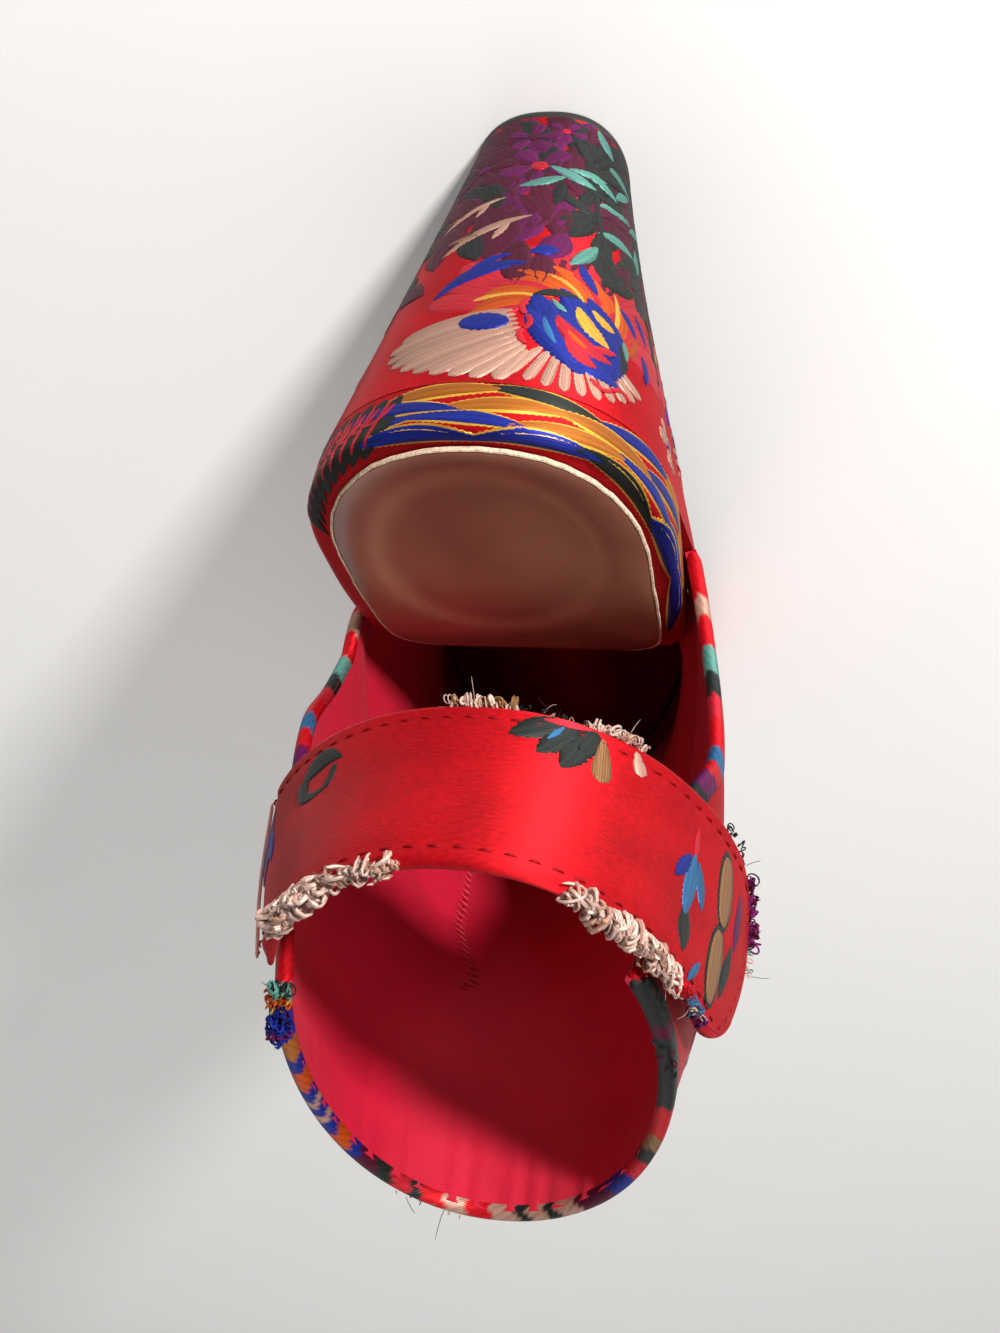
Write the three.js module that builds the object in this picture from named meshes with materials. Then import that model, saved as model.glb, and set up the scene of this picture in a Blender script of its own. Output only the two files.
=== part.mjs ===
// Ankle strap heel for the left foot, in millimetres, +Z up, toe towards +Y, inner side of the foot to +X.
// While it is built, y = 0 is the rearmost point of the heel seat and z = 0 is the floor. At the end the
// whole shoe is shifted so that the origin lies on the floor under the middle of its bounding box.

import * as THREE from 'three';
import { mergeVertices } from 'three/addons/utils/BufferGeometryUtils.js';

// Driving dimensions
const SOLE_LENGTH = 212;        // insole, heel to toe, measured along the floor
const SEAT_WIDTH = 62;          // across the heel seat
const SEAT_DEPTH = 33;          // from the back of the heel seat to its widest line
const SEAT_FULLNESS = 2.14;     // superellipse exponent of the seat's back
const ROW_STEP = 5.5;           // spacing of the rows that all pieces share between heel seat and ball
const BALL_Y = 159.5;           // widest line of the forefoot, a whole number of rows from the seat
const TOE_FULLNESS = 2.1;
const TOE_ROOM = 1.6;           // insole's clearance at the leaning toe wall
const GAP = 0.3;                // clearance between neighbouring pieces
const WALL = 2;                 // upper: brocade, stiffener and lining together
const BINDING_STEP = 0.4;       // folded edge of the upper stands proud of the wall by this
const BINDING_WIDTH = 5;
const OUTSOLE_THICKNESS = 3.5;
const OUTSOLE_EDGE = 0.6;       // outsole shows beyond the upper by this
const RIM_RADIUS = 1.4;         // rounded edge of the wrapped insole
const SOCK_THICKNESS = 1.2;
const SOCK_INSET = 4.4;
const SOCK_FRONT_Y = 90;
const SOCK_ROUND = 27.5;        // length of the pad's rounded front end
const SOCK_ROUND_FULLNESS = 2.6;
const CUT_EDGE = 0.5;           // small bevel on the cut edges of pad and outsole
const HEEL_FRONT_Y = 58;        // breast of the heel, at its top
const HEEL_TAPER = 1.06;        // above 1 the heel's sides are slightly hollow
const TIP = { x: -0.8, y: 25.8, width: 32.4, length: 36, height: 2.6, bevel: 0.5, bevelShare: 0.97 };
const STRAP_THICKNESS = 2.4;
const STRAP = { bottomZ: 146, topZ: 181, sewnEnd: 112, tabEnd: 86, tabRound: 12 };
const TAB_FLARE = { out: 2.4, length: 32 };   // how far the free end of the tab stands off
// Where the upper's lower line ends on each side
const QUARTER_Y = { outer: SEAT_DEPTH + 2 * ROW_STEP, inner: SEAT_DEPTH + 6 * ROW_STEP };

// Height of the foot's bed along the shoe; the tread between the two equal rows is flat
const FOOTBED = [
  { y: 0, z: 107.7 }, { y: 22, z: 103.26 }, { y: 44, z: 98.8 }, { y: 60, z: 93 }, { y: 80, z: 79 },
  { y: 100, z: 58.5 }, { y: 120, z: 34.8 }, { y: 132, z: 20.8 }, { y: 140, z: 13 }, { y: 147, z: 8.6 },
  { y: 152, z: 7.8 }, { y: 169, z: 7.8 }, { y: 190, z: 10.4 }, { y: 216, z: 16.5 },
];
// Insole: thick wrapped rim at the heel seat, thin under the foot
const INSOLE_THICKNESS = [{ y: 0, t: 10.6 }, { y: 40, t: 10.6 }, { y: 84, t: 4 }, { y: 216, t: 4 }];
// Half width of the insole between the heel seat and the ball, and the sideways run of its middle line
const WAIST = [
  { y: SEAT_DEPTH, half: SEAT_WIDTH / 2 }, { y: 60, half: 30.2 }, { y: 85, half: 26.8 },
  { y: 102, half: 26 }, { y: 128, half: 29 }, { y: BALL_Y, half: 32.6 },
];
const MIDDLE = [
  { y: 0, x: 0 }, { y: 20, x: 0 }, { y: 40, x: -1 }, { y: 60, x: -2 }, { y: 85, x: -1.8 }, { y: 105, x: -1 },
  { y: 140, x: 2.2 }, { y: 165, x: 5.4 }, { y: 190, x: 7.4 }, { y: 216, x: 9 },
];
// Sections of the last over the foot: footY on the sole line, and the front or top point of the same section
const INSTEP = [
  { footY: 44, frontY: 111.5, frontZ: 144 }, { footY: 66, frontY: 120.5, frontZ: 127.5 },
  { footY: 85, frontY: 129.5, frontZ: 111.5 }, { footY: 106, frontY: 140, frontZ: 93.5 },
  { footY: 128, frontY: 151.5, frontZ: 74 }, { footY: 150, frontY: 163.5, frontZ: 56.5 },
  { footY: 170, frontY: 177.5, frontZ: 43 }, { footY: 190, frontY: 194, frontZ: 32.5 },
  { footY: 216, frontY: 216.5, frontZ: 24 },
];
// How far the widest line of a section lies above the sole line, the half axis below that line, and how far
// the section leans to the outer side where only its outer edge still meets the sole
const SIDE_SWELL = [
  { footY: 44, rise: 30, under: 46, fullness: 3.2, lean: 1.8 },
  { footY: 55, rise: 21, under: 37, fullness: 3, lean: 0.8 },
  { footY: 66, rise: 15, under: 30, fullness: 2.6, lean: 0 },
  { footY: 85, rise: 9.5, under: 24, fullness: 2.2, lean: 0 },
  { footY: 106, rise: 7, under: 20, fullness: 2, lean: 0 },
  { footY: 216, rise: 7, under: 20, fullness: 2, lean: 0 },
];
const TOE_CLOSE_Y = 180;        // from here on the sections shrink to the tip of the toe
const TOE_CLOSE_FULLNESS = 2.1;
// Rings of the last round the ankle: back and front points, the section's half width,
// and the place of its widest line between them (0 to 1)
const ANKLE = [
  {
    s: 0.3, backY: 20, backZ: 112, frontY: 105.5, frontZ: 157,
    midX: -4.6, half: 36.2, wide: 0.49, fullness: 2.5,
  },
  {
    s: 0.6, backY: 22.6, backZ: 146, frontY: 100.5, frontZ: 169,
    midX: -5.2, half: 34.6, wide: 0.5, fullness: 2.1,
  },
  {
    s: 1, backY: 12.1, backZ: 181, frontY: 92.5, frontZ: 192.5,
    midX: -7.2, half: 28.1, wide: 0.48, fullness: 2.1,
  },
];
const FRONT_FULLNESS = 2.1;
// Colours of the pieces
const RED = 0xb3121f;
const BLACK = 0x17130f;
const TAN = 0x8a5a3c;
const DARK_SOLE = 0x241a16;

const RIGHT_ANGLE = Math.PI / 2;
const toRadians = THREE.MathUtils.degToRad;
const toDegrees = THREE.MathUtils.radToDeg;
const point = (x, y, z) => new THREE.Vector3(x, y, z);
const mix = THREE.MathUtils.lerp;
const smooth = (x, from, to) => THREE.MathUtils.smoothstep(x, from, to);

// Monotone cubic through one column of a table: smooth, and flat between equal values
function through(table, at, column) {
  const x = table.map((row) => row[at]);
  const v = table.map((row) => row[column]);
  const chord = x.slice(1).map((next, i) => (v[i + 1] - v[i]) / (next - x[i]));
  const slope = v.map((_, i) => {
    if (i === 0) return chord[0];
    if (i === v.length - 1) return chord[i - 1];
    const [a, b] = [chord[i - 1], chord[i]];
    return a * b <= 0 ? 0 : (2 * a * b) / (a + b);
  });
  return (at) => {
    const i = Math.max(0, Math.min(x.length - 2, x.findLastIndex((knot) => knot <= at)));
    const span = x[i + 1] - x[i];
    const u = (at - x[i]) / span;
    const rise = v[i + 1] - v[i];
    const bend = (slope[i] * span - rise) * (1 - u) - (slope[i + 1] * span - rise) * u;
    return v[i] + u * rise + u * (1 - u) * bend;
  };
}

const bedZ = through(FOOTBED, 'y', 'z');
const insoleThickness = through(INSOLE_THICKNESS, 'y', 't');
const waistHalf = through(WAIST, 'y', 'half');
const middleX = through(MIDDLE, 'y', 'x');
const seatZ = (y) => bedZ(y) - insoleThickness(y);      // underside of the insole

// Part of a superellipse: 1 at the start, exactly 0 at the end of the range
const RANGE_END = 1 - 1e-9;
function closing(u, fullness) {
  if (u <= 0) return 1;
  return u < RANGE_END ? Math.pow(1 - Math.pow(u, fullness), 1 / fullness) : 0;
}

// Half width of the sole's outline at y, grown outwards by an amount all round
function soleHalf(y, grow) {
  if (y < SEAT_DEPTH) {
    const back = SEAT_DEPTH + grow;
    return (SEAT_WIDTH / 2 + grow) * closing((SEAT_DEPTH - y) / back, SEAT_FULLNESS);
  }
  if (y <= BALL_Y) return waistHalf(y) + grow;
  const front = SOLE_LENGTH - BALL_Y + grow;
  return (waistHalf(BALL_Y) + grow) * closing((y - BALL_Y) / front, TOE_FULLNESS);
}

// Points nearer than this are one corner
const SAME_POINT = 1e-3;
const same = (a, b) => a.distanceTo(b) < SAME_POINT;

// Collects the faces of one body; a face with two equal corners is left out, equal points are merged
function body() {
  const positions = [];
  const triangle = (a, b, c) => {
    if (same(a, b) || same(b, c) || same(c, a)) return;
    positions.push(...a.toArray(), ...b.toArray(), ...c.toArray());
  };
  const quad = (a, b, c, d) => {
    triangle(a, b, c);
    triangle(a, c, d);
  };
  const close = () => {
    const geometry = new THREE.BufferGeometry();
    geometry.setAttribute('position', new THREE.Float32BufferAttribute(positions, 3));
    const solid = mergeVertices(geometry, SAME_POINT);
    solid.computeVertexNormals();
    return solid;
  };
  return { quad, close };
}

// Closed solid between two grids of points with the same rows and columns
function slab(upper, lower) {
  const { quad, close } = body();
  const rows = upper.length - 1;
  const columns = upper[0].length - 1;
  for (let i = 0; i < rows; i++) {
    for (let j = 0; j < columns; j++) {
      quad(upper[i][j], upper[i][j + 1], upper[i + 1][j + 1], upper[i + 1][j]);
      quad(lower[i][j], lower[i + 1][j], lower[i + 1][j + 1], lower[i][j + 1]);
    }
    quad(upper[i][0], upper[i + 1][0], lower[i + 1][0], lower[i][0]);
    quad(upper[i + 1][columns], upper[i][columns], lower[i][columns], lower[i + 1][columns]);
  }
  // An end row that is folded on itself is already closed and needs no end wall
  const folded = (row) => row.every((p, j) => same(p, row[columns - j]));
  for (let j = 0; j < columns; j++) {
    if (!folded(upper[0])) quad(upper[0][j + 1], upper[0][j], lower[0][j], lower[0][j + 1]);
    if (!folded(upper[rows])) quad(upper[rows][j], upper[rows][j + 1], lower[rows][j + 1], lower[rows][j]);
  }
  return close();
}

// Stack of closed rings, each a list of points; the first and last rings shrink to one point
function ringStack(rings) {
  const { quad, close } = body();
  for (let i = 0; i < rings.length - 1; i++) {
    const count = rings[i].length;
    for (let j = 0; j < count; j++) {
      const k = (j + 1) % count;
      quad(rings[i][j], rings[i][k], rings[i + 1][k], rings[i + 1][j]);
    }
  }
  return close();
}

// Rows along the sole: closer together at the heel's back and the toe, evenly spaced between
const HEEL_ROWS = 8;
const BETWEEN_ROWS = 22;
const TOE_ROWS = 9;
const easedTo = (start, end, count) => Array.from({ length: count }, (_, i) => {
  return mix(start, end, Math.sin(((i + 1) / count) * RIGHT_ANGLE));
});
const MIDDLE_ROWS = Array.from({ length: BETWEEN_ROWS }, (_, i) => SEAT_DEPTH + (i + 1) * ROW_STEP);
const SOLE_ROWS = [
  ...easedTo(SEAT_DEPTH, 0, HEEL_ROWS).reverse(),
  SEAT_DEPTH,
  ...MIDDLE_ROWS,
  BALL_Y,
  ...easedTo(BALL_Y, SOLE_LENGTH, TOE_ROWS),
];

// Same row on an outline that is grown outwards: only the heel's back and the toe move along the shoe
function grownRow(y, grow) {
  if (y < SEAT_DEPTH) return mix(-grow, SEAT_DEPTH, y / SEAT_DEPTH);
  if (y > BALL_Y) return mix(BALL_Y, SOLE_LENGTH + grow, (y - BALL_Y) / (SOLE_LENGTH - BALL_Y));
  return y;
}

// Plate on the foot's bed: nested outlines for the edge, then straight strips across the middle
function plate({ rows, half, along, edges, across, top, bottom }) {
  const columns = [
    ...edges.map((edge) => ({ inset: edge.inset, drop: edge.drop, share: -1 })),
    ...across.map((share) => ({ inset: edges.at(-1).inset, drop: 0, share })),
    ...[...edges].reverse().map((edge) => ({ inset: edge.inset, drop: edge.drop, share: 1 })),
  ];
  const surface = (height, rounded) => rows.map((row) => columns.map((column) => {
    const y = along(row, -column.inset);
    const x = middleX(y) + column.share * half(y, -column.inset, column.share);
    return point(x, y, height(y) - (rounded ? column.drop : 0));
  }));
  return slab(surface(top, true), surface(bottom, false));
}

// Rounded edge as nested outlines: how far in each lies and how far below the top
const roundEdge = (radius) => [0, 30, 60, 90].map((angle) => ({
  inset: radius * (1 - Math.cos(toRadians(angle))),
  drop: radius * (1 - Math.sin(toRadians(angle))),
}));
const cutEdge = [{ inset: 0, drop: CUT_EDGE }, { inset: CUT_EDGE, drop: 0 }];
const ACROSS = [-0.5, 0, 0.5];

// The toe wall leans inwards, so the insole stops a little short of it
const TOE_ROOM_RUN = 22;
const toeRoom = (y) => TOE_ROOM * smooth(y, BALL_Y, BALL_Y + TOE_ROOM_RUN);
function insole() {
  return plate({
    rows: SOLE_ROWS,
    half: (y, grow) => soleHalf(y, grow - toeRoom(y)),
    along: (y, grow) => grownRow(y, grow - toeRoom(y)),
    edges: roundEdge(RIM_RADIUS),
    across: ACROSS,
    top: bedZ,
    bottom: seatZ,
  });
}

// Leather pad on the heel seat, with a rounded front end
const SOCK_ROUND_ROWS = 8;
function heelSock() {
  const base = (y) => bedZ(y) + GAP;
  const roundFrom = SOCK_FRONT_Y - SOCK_ROUND;
  const straight = SOLE_ROWS.filter((y) => y <= roundFrom);
  const rows = [...straight, ...easedTo(roundFrom, SOCK_FRONT_Y, SOCK_ROUND_ROWS)];
  const front = (y) => closing((y - roundFrom) / SOCK_ROUND, SOCK_ROUND_FULLNESS);
  return plate({
    rows,
    half: (y, grow) => soleHalf(y, grow - SOCK_INSET) * front(y),
    along: (y, grow) => grownRow(y, grow - SOCK_INSET),
    edges: cutEdge,
    across: ACROSS,
    top: (y) => base(y) + SOCK_THICKNESS,
    bottom: base,
  });
}

// Extra width under the upper's lower edge, growing in just behind the end of each quarter
const LEDGE = GAP + WALL;
const LEDGE_RUN = 8;
function ledge(y, side) {
  const start = side < 0 ? QUARTER_Y.outer : QUARTER_Y.inner;
  return smooth(y, start - LEDGE_RUN, start);
}

function outsole() {
  const rear = HEEL_FRONT_Y + GAP;
  const grown = LEDGE + OUTSOLE_EDGE;
  const top = (y) => seatZ(y) - GAP;
  return plate({
    rows: [rear, ...SOLE_ROWS.filter((y) => y > rear)],
    half: (y, grow, side) => soleHalf(y, grow + grown * ledge(y, side)),
    along: (y, grow) => grownRow(y, grow + grown),
    edges: cutEdge,
    across: ACROSS,
    top,
    bottom: (y) => top(y) - OUTSOLE_THICKNESS,
  });
}

// Outline with a round back and a straight front, as a ring of points
const HEEL_SIDES = 48;
function dShape({ x, backY, wideY, frontY, half, backFullness, frontFullness }) {
  return Array.from({ length: HEEL_SIDES }, (_, i) => {
    const angle = (i / HEEL_SIDES) * 2 * Math.PI;
    const across = Math.cos(angle);
    const along = Math.sin(angle);
    const fullness = along < 0 ? backFullness : frontFullness;
    const bend = (v) => Math.sign(v) * Math.pow(Math.abs(v), 2 / fullness);
    const depth = along < 0 ? wideY - backY : frontY - wideY;
    return { x: x + half * bend(across), y: wideY + depth * bend(along) };
  });
}

const TIP_OUTLINE = {
  x: TIP.x, backY: TIP.y - TIP.length / 2, wideY: TIP.y, frontY: TIP.y + TIP.length / 2, half: TIP.width / 2,
  backFullness: 2.4, frontFullness: 6,
};
const SEAT_OUTLINE = {
  x: 0, backY: 0, wideY: SEAT_DEPTH, frontY: HEEL_FRONT_Y, half: SEAT_WIDTH / 2,
  backFullness: SEAT_FULLNESS, frontFullness: 14,
};

// Block heel: lofted from the tip's outline up to the heel seat, which slopes with the foot's bed
const HEEL_HEIGHTS = [0, 0.2, 0.4, 0.6, 0.8, 0.92, 1];
const CAP_SHARES = [0.8, 0.55, 0.3, 0];
function heel() {
  const bottomZ = TIP.height + GAP;
  const foot = dShape(TIP_OUTLINE);
  const seat = dShape(SEAT_OUTLINE).map((p) => {
    const side = Math.sign(p.x);
    const waist = p.y > SEAT_DEPTH ? waistHalf(p.y) / waistHalf(SEAT_DEPTH) : 1;
    const step = side * LEDGE * ledge(p.y, side) * Math.abs(p.x) / SEAT_OUTLINE.half;
    return { x: middleX(p.y) + p.x * waist + step, y: p.y };
  });
  const ring = (h) => seat.map((top, i) => {
    const z = mix(bottomZ, seatZ(top.y) - GAP, h);
    const taper = Math.pow(h, HEEL_TAPER);
    return point(mix(foot[i].x, top.x, taper), mix(foot[i].y, top.y, taper), z);
  });
  const cap = (share) => seat.map((p) => {
    const y = mix(SEAT_DEPTH, p.y, share);
    return point(p.x * share, y, seatZ(y) - GAP);
  });
  const bottom = point(TIP.x, TIP.y, bottomZ);
  return ringStack([foot.map(() => bottom), ...HEEL_HEIGHTS.map(ring), ...CAP_SHARES.map(cap)]);
}

// Rubber top piece under the heel
function heelTip() {
  const outline = dShape(TIP_OUTLINE);
  const level = (z, share) => outline.map((p) => point(mix(TIP.x, p.x, share), mix(TIP.y, p.y, share), z));
  const bottom = [level(0, 0), level(0, TIP.bevelShare), level(TIP.bevel, 1)];
  return ringStack([...bottom, level(TIP.height, 1), level(TIP.height, 0)]);
}

const frontY = through(INSTEP, 'footY', 'frontY');
const frontZ = through(INSTEP, 'footY', 'frontZ');
const swellRise = through(SIDE_SWELL, 'footY', 'rise');
const swellUnder = through(SIDE_SWELL, 'footY', 'under');
const swellFullness = through(SIDE_SWELL, 'footY', 'fullness');
const swellLean = through(SIDE_SWELL, 'footY', 'lean');

// Section of the last over the foot that meets the sole line at footY
const UPPER_TOE = SOLE_LENGTH + LEDGE;
function footSection(footY) {
  const shut = closing((footY - TOE_CLOSE_Y) / (UPPER_TOE - TOE_CLOSE_Y), TOE_CLOSE_FULLNESS);
  const base = new THREE.Vector2(footY, seatZ(footY));
  const open = new THREE.Vector2(frontY(footY), frontZ(footY));
  const front = base.clone().lerp(open, shut);
  const rise = swellRise(footY) * shut;
  const under = swellUnder(footY) * shut;
  const fullness = swellFullness(footY);
  const up = open.clone().sub(base).normalize();
  const centre = base.clone().addScaledVector(up, rise);
  const back = centre.clone().addScaledVector(up, -under);
  const depth = swellRise(footY) / swellUnder(footY);
  const lean = swellLean(footY);
  const half = (soleHalf(footY, LEDGE) - lean) / closing(depth, fullness);
  const baseAngle = 90 + toDegrees(Math.asin(Math.pow(depth, fullness / 2)));
  return { centre, front, back, midX: middleX(footY) - lean, half, fullness, baseAngle };
}

// Ring of the last round the ankle, s from 0 at the end of the outer quarter to 1 at the collar
const lastFoot = footSection(QUARTER_Y.outer);
const ANKLE_ROWS = [
  {
    s: 0, backY: lastFoot.back.x, backZ: lastFoot.back.y, frontY: lastFoot.front.x, frontZ: lastFoot.front.y,
    wide: lastFoot.centre.distanceTo(lastFoot.back) / lastFoot.front.distanceTo(lastFoot.back),
    midX: lastFoot.midX, half: lastFoot.half, fullness: lastFoot.fullness,
  },
  ...ANKLE,
];
const ANKLE_COLUMNS = Object.keys(ANKLE[0]);
const ankle = Object.fromEntries(ANKLE_COLUMNS.map((column) => [column, through(ANKLE_ROWS, 's', column)]));
function ankleSection(s) {
  const back = new THREE.Vector2(ankle.backY(s), ankle.backZ(s));
  const front = new THREE.Vector2(ankle.frontY(s), ankle.frontZ(s));
  const centre = back.clone().lerp(front, ankle.wide(s));
  return { centre, front, back, midX: ankle.midX(s), half: ankle.half(s), fullness: ankle.fullness(s) };
}

// Point of a section at an angle from its front point: negative on the outer side, 180 degrees at the back
function onSection(section, degrees) {
  const angle = toRadians(degrees);
  const forward = Math.abs(degrees) <= 90;
  const fullness = forward ? FRONT_FULLNESS : section.fullness;
  const bend = (v) => Math.sign(v) * Math.pow(Math.abs(v), 2 / fullness);
  const end = forward ? section.front : section.back;
  const place = section.centre.clone().lerp(end, Math.pow(Math.abs(Math.cos(angle)), 2 / fullness));
  return point(section.midX + section.half * bend(Math.sin(angle)), place.x, place.y);
}

// Back edges of the upper, in degrees round the section from its front point
const QUARTER_EDGE = [
  { s: 0, outer: lastFoot.baseAngle, inner: 94 },
  { s: 0.12, outer: 106, inner: 96 },
  { s: 0.3, outer: 103, inner: 103 },
  { s: 0.55, outer: 119, inner: 109 },
  { s: 1, outer: 122, inner: 112 },
];
const edgeOuter = through(QUARTER_EDGE, 's', 'outer');
const edgeInner = through(QUARTER_EDGE, 's', 'inner');

// Rows of the upper from the tip of the toe to the collar, each a section and the angles of its two edges
const TOE_CLOSE_ROWS = 7;
const FOREFOOT_ROWS = 4;
const ANKLE_STEPS = 13;
const UPPER_COLUMNS = 28;
function upperRows() {
  const toe = [UPPER_TOE, ...easedTo(TOE_CLOSE_Y, UPPER_TOE, TOE_CLOSE_ROWS).reverse().slice(1)];
  const forefoot = Array.from({ length: FOREFOOT_ROWS }, (_, i) => {
    return mix(TOE_CLOSE_Y, BALL_Y, i / FOREFOOT_ROWS);
  });
  const waist = [BALL_Y, ...[...MIDDLE_ROWS].reverse()].filter((y) => y > QUARTER_Y.outer);
  const foot = [...forefoot, ...waist];
  const footRows = [...toe, ...foot].map((y) => {
    const section = footSection(y);
    const inner = mix(edgeInner(0), section.baseAngle, smooth(y, QUARTER_Y.outer, QUARTER_Y.inner));
    return { section, outer: section.baseAngle, inner, footY: y };
  });
  const ankleRows = Array.from({ length: ANKLE_STEPS + 1 }, (_, i) => {
    const s = i / ANKLE_STEPS;
    const footY = i === 0 ? QUARTER_Y.outer : undefined;
    return { section: ankleSection(s), outer: edgeOuter(s), inner: edgeInner(s), s, footY };
  });
  return [...footRows, ...ankleRows];
}

// Outward normals of a grid of points, from the neighbouring rows and columns
function gridNormals(grid) {
  const pick = (list, i) => list[Math.max(0, Math.min(list.length - 1, i))];
  return grid.map((row, i) => row.map((_, j) => {
    const alongRow = pick(row, j + 1).clone().sub(pick(row, j - 1));
    const alongColumn = pick(grid, i + 1)[j].clone().sub(pick(grid, i - 1)[j]);
    return alongRow.cross(alongColumn).normalize();
  }));
}

// Hollow upper: wall of even thickness, with a folded edge standing proud along the collar and the back edges
function upper() {
  const rows = upperRows();
  const skin = rows.map((row) => Array.from({ length: UPPER_COLUMNS + 1 }, (_, j) => {
    return onSection(row.section, mix(row.inner, -row.outer, j / UPPER_COLUMNS));
  }));
  const normals = gridNormals(skin);
  normals[0] = normals[0].map(() => point(0, 1, 0));
  const inside = skin.map((row, i) => row.map((p, j) => {
    const normal = normals[i][j].clone();
    const onOuterLine = j === UPPER_COLUMNS && rows[i].footY >= QUARTER_Y.outer;
    const onInnerLine = j === 0 && rows[i].footY >= QUARTER_Y.inner;
    const onFeather = onOuterLine || onInnerLine;
    const straightIn = rows[i].footY <= BALL_Y;
    if (onFeather) normal.set(normal.x, straightIn ? 0 : normal.y, 0).normalize();
    const inner = p.clone().addScaledVector(normal, -WALL);
    if (onFeather) inner.z = seatZ(inner.y);
    return inner;
  }));
  const collar = skin.at(-1);
  const outside = skin.map((row, i) => row.map((p, j) => {
    const fromCollar = p.distanceTo(collar[j]);
    const freeEdge = rows[i].s > 0;
    const fromEdge = freeEdge ? Math.min(p.distanceTo(row[0]), p.distanceTo(row.at(-1))) : BINDING_WIDTH;
    const proud = Math.min(fromCollar, fromEdge) < BINDING_WIDTH ? BINDING_STEP : 0;
    return p.clone().addScaledVector(normals[i][j], proud);
  }));
  return slab(outside, inside);
}

// Place on the ankle's skin at an angle and a height, moved outwards along the skin's normal
const HALVINGS = 40;
const NUDGE = { s: 0.01, degrees: 1 };
function onAnkle(degrees, z, outwards) {
  let low = 0;
  let high = 1;
  for (let step = 0; step < HALVINGS; step++) {
    const middle = (low + high) / 2;
    if (onSection(ankleSection(middle), degrees).z < z) low = middle;
    else high = middle;
  }
  const s = (low + high) / 2;
  const below = onSection(ankleSection(Math.max(0, s - NUDGE.s)), degrees);
  const above = onSection(ankleSection(Math.min(1, s + NUDGE.s)), degrees);
  const before = onSection(ankleSection(s), degrees - NUDGE.degrees);
  const after = onSection(ankleSection(s), degrees + NUDGE.degrees);
  const normal = above.sub(below).cross(after.sub(before)).normalize();
  return onSection(ankleSection(s), degrees).addScaledVector(normal, outwards);
}

// Strap: from its sewn end on the inner side round the back to a rounded tab on the outer side
const STRAP_STEPS = 44;
const STRAP_BANDS = 5;
const STRAP_CROWDING = 1.25;    // above 1 the steps lie closer together at the tab
const TAB_FULLNESS = 2.6;
const TAB_END_SHARE = 0.3;      // straight part of the tab's end, of the strap's width
function ankleStrap() {
  const sweep = 360 - STRAP.tabEnd - STRAP.sewnEnd;
  const middleZ = (STRAP.bottomZ + STRAP.topZ) / 2;
  const turn = (u) => THREE.MathUtils.euclideanModulo(STRAP.sewnEnd + u * sweep + 180, 360) - 180;
  const around = Array.from({ length: STRAP_STEPS + 1 }, (_, i) => {
    return 1 - Math.pow(1 - i / STRAP_STEPS, STRAP_CROWDING);
  });
  const lengths = [0];
  for (let i = 1; i < around.length; i++) {
    const step = onAnkle(turn(around[i]), middleZ, 0).distanceTo(onAnkle(turn(around[i - 1]), middleZ, 0));
    lengths.push(lengths[i - 1] + step);
  }
  const surface = (outwards) => around.map((u, i) => {
    const toEnd = lengths.at(-1) - lengths[i];
    const round = Math.max(TAB_END_SHARE, closing(1 - toEnd / STRAP.tabRound, TAB_FULLNESS));
    const flare = TAB_FLARE.out * Math.pow(Math.max(0, 1 - toEnd / TAB_FLARE.length), 2);
    return Array.from({ length: STRAP_BANDS + 1 }, (_, j) => {
      const v = 0.5 + (j / STRAP_BANDS - 0.5) * round;
      return onAnkle(turn(u), mix(STRAP.bottomZ, STRAP.topZ, v), outwards + flare);
    });
  });
  const clear = GAP + BINDING_STEP;
  return slab(surface(clear + STRAP_THICKNESS), surface(clear));
}

const PIECES = [
  { name: 'outsole', make: outsole, colour: DARK_SOLE, roughness: 0.55 },
  { name: 'heel', make: heel, colour: RED, roughness: 0.45 },
  { name: 'heel_tip', make: heelTip, colour: BLACK, roughness: 0.7 },
  { name: 'insole', make: insole, colour: RED, roughness: 0.45 },
  { name: 'heel_sock', make: heelSock, colour: TAN, roughness: 0.35 },
  { name: 'upper', make: upper, colour: RED, roughness: 0.45 },
  { name: 'ankle_strap', make: ankleStrap, colour: RED, roughness: 0.4 },
];

const shoe = new THREE.Group();
for (const piece of PIECES) {
  const finish = new THREE.MeshStandardMaterial({ color: piece.colour, roughness: piece.roughness });
  const mesh = new THREE.Mesh(piece.make(), finish);
  mesh.name = piece.name;
  shoe.add(mesh);
}
const extent = new THREE.Box3().setFromObject(shoe);
const middle = extent.getCenter(point(0, 0, 0));
shoe.position.set(-middle.x, -middle.y, -extent.min.z);

const model = new THREE.Group();
model.add(shoe);
export default model;
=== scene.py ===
"""Ankle strap heel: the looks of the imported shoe, laid out as an add-on and run as a script."""

import math
import random
from functools import lru_cache

import bmesh
import bpy
import numpy as np
from mathutils import Matrix, Vector


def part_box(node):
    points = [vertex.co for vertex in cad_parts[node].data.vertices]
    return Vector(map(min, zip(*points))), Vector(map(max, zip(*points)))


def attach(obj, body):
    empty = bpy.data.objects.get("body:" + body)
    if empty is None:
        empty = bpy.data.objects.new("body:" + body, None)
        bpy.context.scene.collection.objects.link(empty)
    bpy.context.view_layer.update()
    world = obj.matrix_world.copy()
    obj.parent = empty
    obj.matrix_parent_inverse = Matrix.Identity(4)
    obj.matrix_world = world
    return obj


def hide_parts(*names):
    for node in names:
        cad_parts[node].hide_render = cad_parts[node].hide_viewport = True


bl_info = {
    "name": "Ankle Strap Heel",
    "version": (1, 0, 0),
    "blender": (4, 5, 0),
    "location": "3D View > Sidebar > Shoe",
    "description": "Builds a brocade ankle strap heel round its packed solids",
    "category": "Add Mesh",
}

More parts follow.
